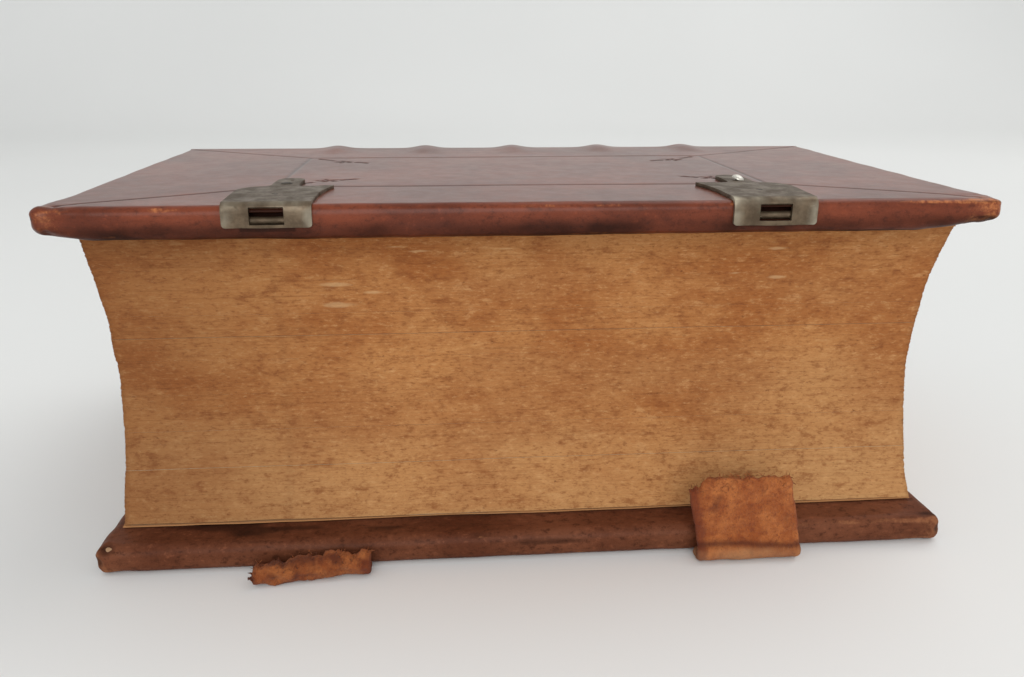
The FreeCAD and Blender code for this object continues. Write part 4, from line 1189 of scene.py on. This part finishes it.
def path_frame(path, samples):
    """Even points along a (y, z) path with rounded bends, and the normal at each."""
    path = np.array(path, float)
    lengths = np.concatenate([[0], np.cumsum(np.linalg.norm(np.diff(path, axis=0), axis=1))])
    place = np.linspace(0, lengths[-1], samples)
    line = np.column_stack([np.interp(place, lengths, path[:, axis]) for axis in (0, 1)])
    kernel = np.hanning(15)[1:-1]
    kernel /= kernel.sum()
    for _ in range(2):
        padded = np.concatenate([2 * line[0] - line[6:0:-1], line, 2 * line[-1] - line[-2:-8:-1]])
        line = np.column_stack([np.convolve(padded[:, axis], kernel, "valid") for axis in (0, 1)])
    along = np.gradient(line, axis=0)
    along /= np.linalg.norm(along, axis=1)[:, None]
    return line, np.column_stack([along[:, 1], -along[:, 0]]), place / lengths[-1]


def strap(centre, width, path, thick, shift, lean, ragged, samples=130, across=56):
    """A leather strap along a path in side view; its free end is ragged and its edges are thinned."""
    line, side, share = path_frame(path, samples)
    total = np.linalg.norm(np.diff(line, axis=0), axis=1).sum()
    us = np.sin(np.linspace(-math.pi / 2, math.pi / 2, across)) * 0.5
    us = 0.5 * us + 0.5 * np.linspace(-0.5, 0.5, across)
    torn = ragged(us)
    layers = []
    for face in (1, -1):
        rows = []
        for index in range(samples):
            reach = np.interp(share[index] * (1 - torn / total), share, np.arange(samples))
            y = np.interp(reach, np.arange(samples), line[:, 0])
            z = np.interp(reach, np.arange(samples), line[:, 1])
            ny = np.interp(reach, np.arange(samples), side[:, 0])
            nz = np.interp(reach, np.arange(samples), side[:, 1])
            edge = np.minimum(1, (0.5 - np.abs(us)) * width / (0.7 * MM))
            tip = min(1.0, (1 - share[index]) * total / (0.8 * MM))
            half = thick / 2 * np.sqrt(np.maximum(0.0, 1 - (1 - edge) ** 2)) * math.sqrt(max(0.0, 1 - (1 - tip) ** 2))
            half = np.maximum(half, 0.05 * MM)
            free = smooth(y, FORE_EDGE + 1 * MM, FORE_EDGE - 1 * MM)
            x = centre + us * width + shift * free + lean * smooth(z, 3 * MM, 18 * MM)
            rows.append(np.column_stack([x, y + face * ny * half, z + face * nz * half]))
        layers.append(np.array(rows))
    front, back = layers
    points = np.concatenate([front.reshape(-1, 3), back.reshape(-1, 3)])
    size = samples * across
    faces = list(grid_faces(samples, across)[:, ::-1]) + list(grid_faces(samples, across) + size)
    index = np.arange(size).reshape(samples, across)
    border = np.concatenate([index[0], index[1:, -1], index[-1, -2::-1], index[-2:0:-1, 0]])
    following = np.roll(border, -1)
    faces += [[a, b, b + size, a + size] for a, b in zip(border, following)]
    return points, faces


def fibres(points, count, length, seed):
    """Short tapered fibres standing out of the given points."""
    chance = np.random.default_rng(seed)
    parts = []
    for _ in range(count):
        root = points[chance.integers(len(points))]
        heading = chance.normal(0, 1, 3) * (1, 0.8, 0.5) + (0, 0, 1.1)
        heading /= np.linalg.norm(heading)
        bend = chance.normal(0, 0.35, 3)
        reach = length * chance.uniform(0.4, 1.0)
        side = np.cross(heading, (0.3, 1, 0.2))
        side /= np.linalg.norm(side)
        other = np.cross(heading, side)
        rows = []
        for share in (0.0, 0.5, 1.0):
            middle = root + heading * reach * share + bend * reach * share ** 2
            radius = 0.055 * MM * (1 - 0.8 * share)
            rows.append([middle + radius * (math.cos(a) * side + math.sin(a) * other) for a in (0, 2.094, 4.189)])
        rows = np.array(rows).reshape(-1, 3)
        faces = list(grid_faces(3, 3, closed=True)) + [[2, 1, 0], [6, 7, 8]]
        parts.append((rows, faces))
    return parts


def finish_strap(item, seed, fold_low, fold_high, soil_and_shade, span, top):
    """Wrinkle a strap and mark its pale fold, the painted shade in its crease, its soiled hollows and a darkening that
    is part soil, part painted shade.
    """
    points = coordinates(item)
    free = smooth(points[:, 1], FORE_EDGE + 1 * MM, FORE_EDGE - 1.5 * MM)
    wrinkles = noise(points, (6 * MM, 4 * MM, 2.6 * MM), seed, 3) * 0.16 * MM + noise(points, 1.1 * MM, seed + 3, 3) * 0.07 * MM
    push(item, wrinkles * free)
    points = coordinates(item)
    points[:, 2] = np.maximum(points[:, 2], 0.03 * MM)
    move_points(item, points)
    fold = smooth(points[:, 2], fold_high, fold_low) * free
    mark(item, "wear", np.clip(fold * (0.6 + 0.5 * noise(points, 5 * MM, seed + 7, 3)), 0, 1))
    wander = noise(points * (1, 0, 0), 7 * MM, seed + 11, 2) * 0.7 * MM
    # Painted shade along the strap's crease.
    crease_and_shade = np.exp(-((points[:, 2] - fold_high - wander) / (0.55 * MM)) ** 2) * free
    hollow = smooth(noise(points, 2.4 * MM, seed + 9, 3), 0.6 - soil_and_shade, 1.2) * (0.5 + soil_and_shade)
    mark(item, "grime_and_shade", np.clip(crease_and_shade * 0.95 + hollow + soil_and_shade * 0.4, 0, 1))
    from_side = span[1] / 2 - np.abs(points[:, 0] - span[0] + 2 * MM * smooth(points[:, 2], 0, top))
    ragged = noise(points, 1.6 * MM, seed + 13, 3) * 0.5 * MM
    below_top = smooth(top - points[:, 2], 0.6 * MM, 2 * MM)
    mark(item, "torn", smooth(from_side + ragged, 1.5 * MM, 0.2 * MM) * below_top * free)
    mark_rest(item)
    return item


def head_strap():
    root_low, root_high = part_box("head_strap_root")
    flap_low, flap_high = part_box("head_strap_flap")
    centre, width = (root_low.x + root_high.x) / 2, root_high.x - root_low.x
    front = (flap_low.y + flap_high.y) / 2
    thick = 1.5 * MM
    level = root_low.z + thick / 2
    # From the root out under the edge, round the bulging fold, in at the crease and up to the torn end.
    rise = [(1.0, 0.0), (-1.3, 0.1), (-2.35, 0.9), (-2.3, 1.9), (-1.3, 2.75), (-0.3, 3.3), (0.0, 4.6), (-0.15, 9.0)]
    path = [(root_high.y, level), (FORE_EDGE + 2 * MM, level)]
    path += [(front + out * MM, level + up * MM) for out, up in rise] + [(front + 0.6 * MM, flap_high.z)]

    def ragged(us):
        cut = smooth(us, -0.3, -0.42) * 1.7 + smooth(us, 0.42, 0.5) * 0.9
        return (cut + 0.5 * noise(np.column_stack([us * 30, us * 0, us * 0]), 1.0, 83, 3)) * MM

    points, faces = strap(centre, width, path, thick, -0.9 * MM, -2.3 * MM, ragged)
    top_rows = points[np.argsort(points[:, 2])[-900:]]
    edges = points[(np.abs(points[:, 0] - points[:, 0].min()) < 3.4 * MM) & (points[:, 2] > 6 * MM)]
    parts = [(points, faces)] + fibres(top_rows, 150, 1.5 * MM, 84) + fibres(edges, 40, 0.8 * MM, 85)
    item = new_object("head_strap_leather", *merge(parts))
    finish_strap(item, 86, 2.9 * MM, 4.0 * MM, 0.0, (centre, width), flap_high.z)
    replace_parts(dress(item, SUEDE), "head_strap_root", "head_strap_flap")
    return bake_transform(item)


def tail_strap():
    root_low, root_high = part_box("tail_strap_root")
    centre, width = (root_low.x + root_high.x) / 2, root_high.x - root_low.x
    thick = 1.5 * MM
    level = root_low.z + thick / 2
    stub_low, stub_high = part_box("tail_strap_stub")
    front = (stub_low.y + stub_high.y) / 2
    # The torn end turns up in front of the board's edge.
    rise = [(1.0, 0.0), (-0.6, 0.1), (-1.5, 0.8), (-1.6, 1.8), (-0.9, 2.7), (-0.2, 3.3)]
    path = [(root_high.y, level), (FORE_EDGE + 2 * MM, level)]
    path += [(front + out * MM, level + up * MM) for out, up in rise] + [(front + 0.3 * MM, stub_high.z)]

    def ragged(us):
        bite = np.abs(noise(np.column_stack([us * 16, us * 0, us * 0]), 1.0, 93, 3))
        return (0.9 * smooth(us, -0.1, -0.5) + 0.9 * bite) * MM

    points, faces = strap(centre, width, path, thick, 0.3 * MM, 0.0, ragged)
    tail_share = smooth(points[:, 0], centre + 0.3 * width, centre - 0.45 * width)
    out = smooth(points[:, 1], FORE_EDGE - 0.5 * MM, FORE_EDGE - 3 * MM)
    points[:, 1] -= 1.9 * MM * tail_share * out
    points[:, 2] -= (points[:, 2] - level) * 0.16 * tail_share * out
    lumps = noise(points, (4.5 * MM, 3 * MM, 2 * MM), 98, 3) * 0.7 * MM * out
    points[:, 1] += lumps
    points[:, 2] += 0.5 * lumps
    tip = points[np.argsort(-points[:, 2])[:1200]]
    side = points[(points[:, 0] < centre - 0.47 * width) & (points[:, 1] < FORE_EDGE - 0.5 * MM)]
    parts = [(points, faces)] + fibres(tip, 120, 0.9 * MM, 94) + fibres(side, 60, 0.9 * MM, 95)
    item = new_object("tail_strap_leather", *merge(parts))
    # The stub is darkened all over, part soil and part painted shade.
    finish_strap(item, 96, -2 * MM, -1 * MM, 0.85, (centre, width), stub_high.z)
    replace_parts(dress(item, SUEDE), "tail_strap_root", "tail_strap_stub")
    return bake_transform(item)


head_strap()
tail_strap()

# ---------------------------------------------------------------- CAD nodes that stay

for node in ("upper_board", "lower_board"):
    dress(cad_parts[node], WOOD)
for node in ("upper_cord_slips", "lower_cord_slips"):
    dress(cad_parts[node], HEMP)
for node in ("head_strap_nails", "tail_strap_nails"):
    dress(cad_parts[node], NAIL_BRASS)

# ---------------------------------------------------------------- studio


def studio():
    """A pale floor that curves up into a backdrop."""
    bend = 0.5
    turns = np.linspace(0, math.pi / 2, 24)
    floor = [(-3.0, 0.0), (-1.0, 0.0), (0.0, 0.0), (0.6, 0.0)]
    curve = [(0.9 + bend * math.sin(a), bend - bend * math.cos(a)) for a in turns]
    profile = floor + curve + [(0.9 + bend, 3.0)]
    xs = np.linspace(-3, 3, 9)
    points = np.array([(x, y, z) for y, z in profile for x in xs])
    item = new_object("floor", points, grid_faces(len(profile), len(xs))[:, ::-1])
    dress(item, FLOOR)


def area_light(name, place, target, size, power, colour):
    data = bpy.data.lights.new(name, "AREA")
    data.shape = "DISK"
    data.size = size
    data.energy = power
    data.color = colour
    item = bpy.data.objects.new(name, data)
    bpy.context.scene.collection.objects.link(item)
    item.location = place
    item.rotation_mode = "QUATERNION"
    item.rotation_quaternion = (Vector(target) - Vector(place)).to_track_quat("-Z", "Y")


def lights():
    area_light("key_light", (0.7, 0.4, 1.25), (0, 0, 0.03), 1.3, 6, (1.0, 0.99, 0.97))
    area_light("front_fill", (-0.1, -1.4, 0.75), (0, 0, 0.03), 1.3, 12.5, (0.98, 0.99, 1.0))
    world = bpy.data.worlds.new("studio_air")
    world.use_nodes = True
    background = world.node_tree.nodes["Background"]
    background.inputs["Color"].default_value = (0.93, 0.95, 0.95, 1)
    background.inputs["Strength"].default_value = 0.65
    bpy.context.scene.world = world


def camera():
    """The camera of the view from in front of the fore-edge and a little above the upper board."""
    yaw, pitch, roll = 0.0807, 0.3242, 0.0034
    forward = Vector((math.sin(yaw) * math.cos(pitch), math.cos(yaw) * math.cos(pitch), -math.sin(pitch)))
    right = Vector((math.cos(yaw), -math.sin(yaw), 0))
    above = right.cross(forward)
    rolled_right = right * math.cos(roll) + above * math.sin(roll)
    rolled_above = above * math.cos(roll) - right * math.sin(roll)
    data = bpy.data.cameras.new("camera")
    data.sensor_width = 36
    data.lens = 29.85
    data.clip_start = 0.01
    item = bpy.data.objects.new("camera", data)
    bpy.context.scene.collection.objects.link(item)
    turn = Matrix((rolled_right, rolled_above, -forward)).transposed()
    item.matrix_world = Matrix.Translation((-0.0164, -0.19394, 0.09684)) @ turn.to_4x4()
    bpy.context.scene.camera = item


studio()
lights()
camera()
bpy.context.scene.view_settings.view_transform = "Standard"
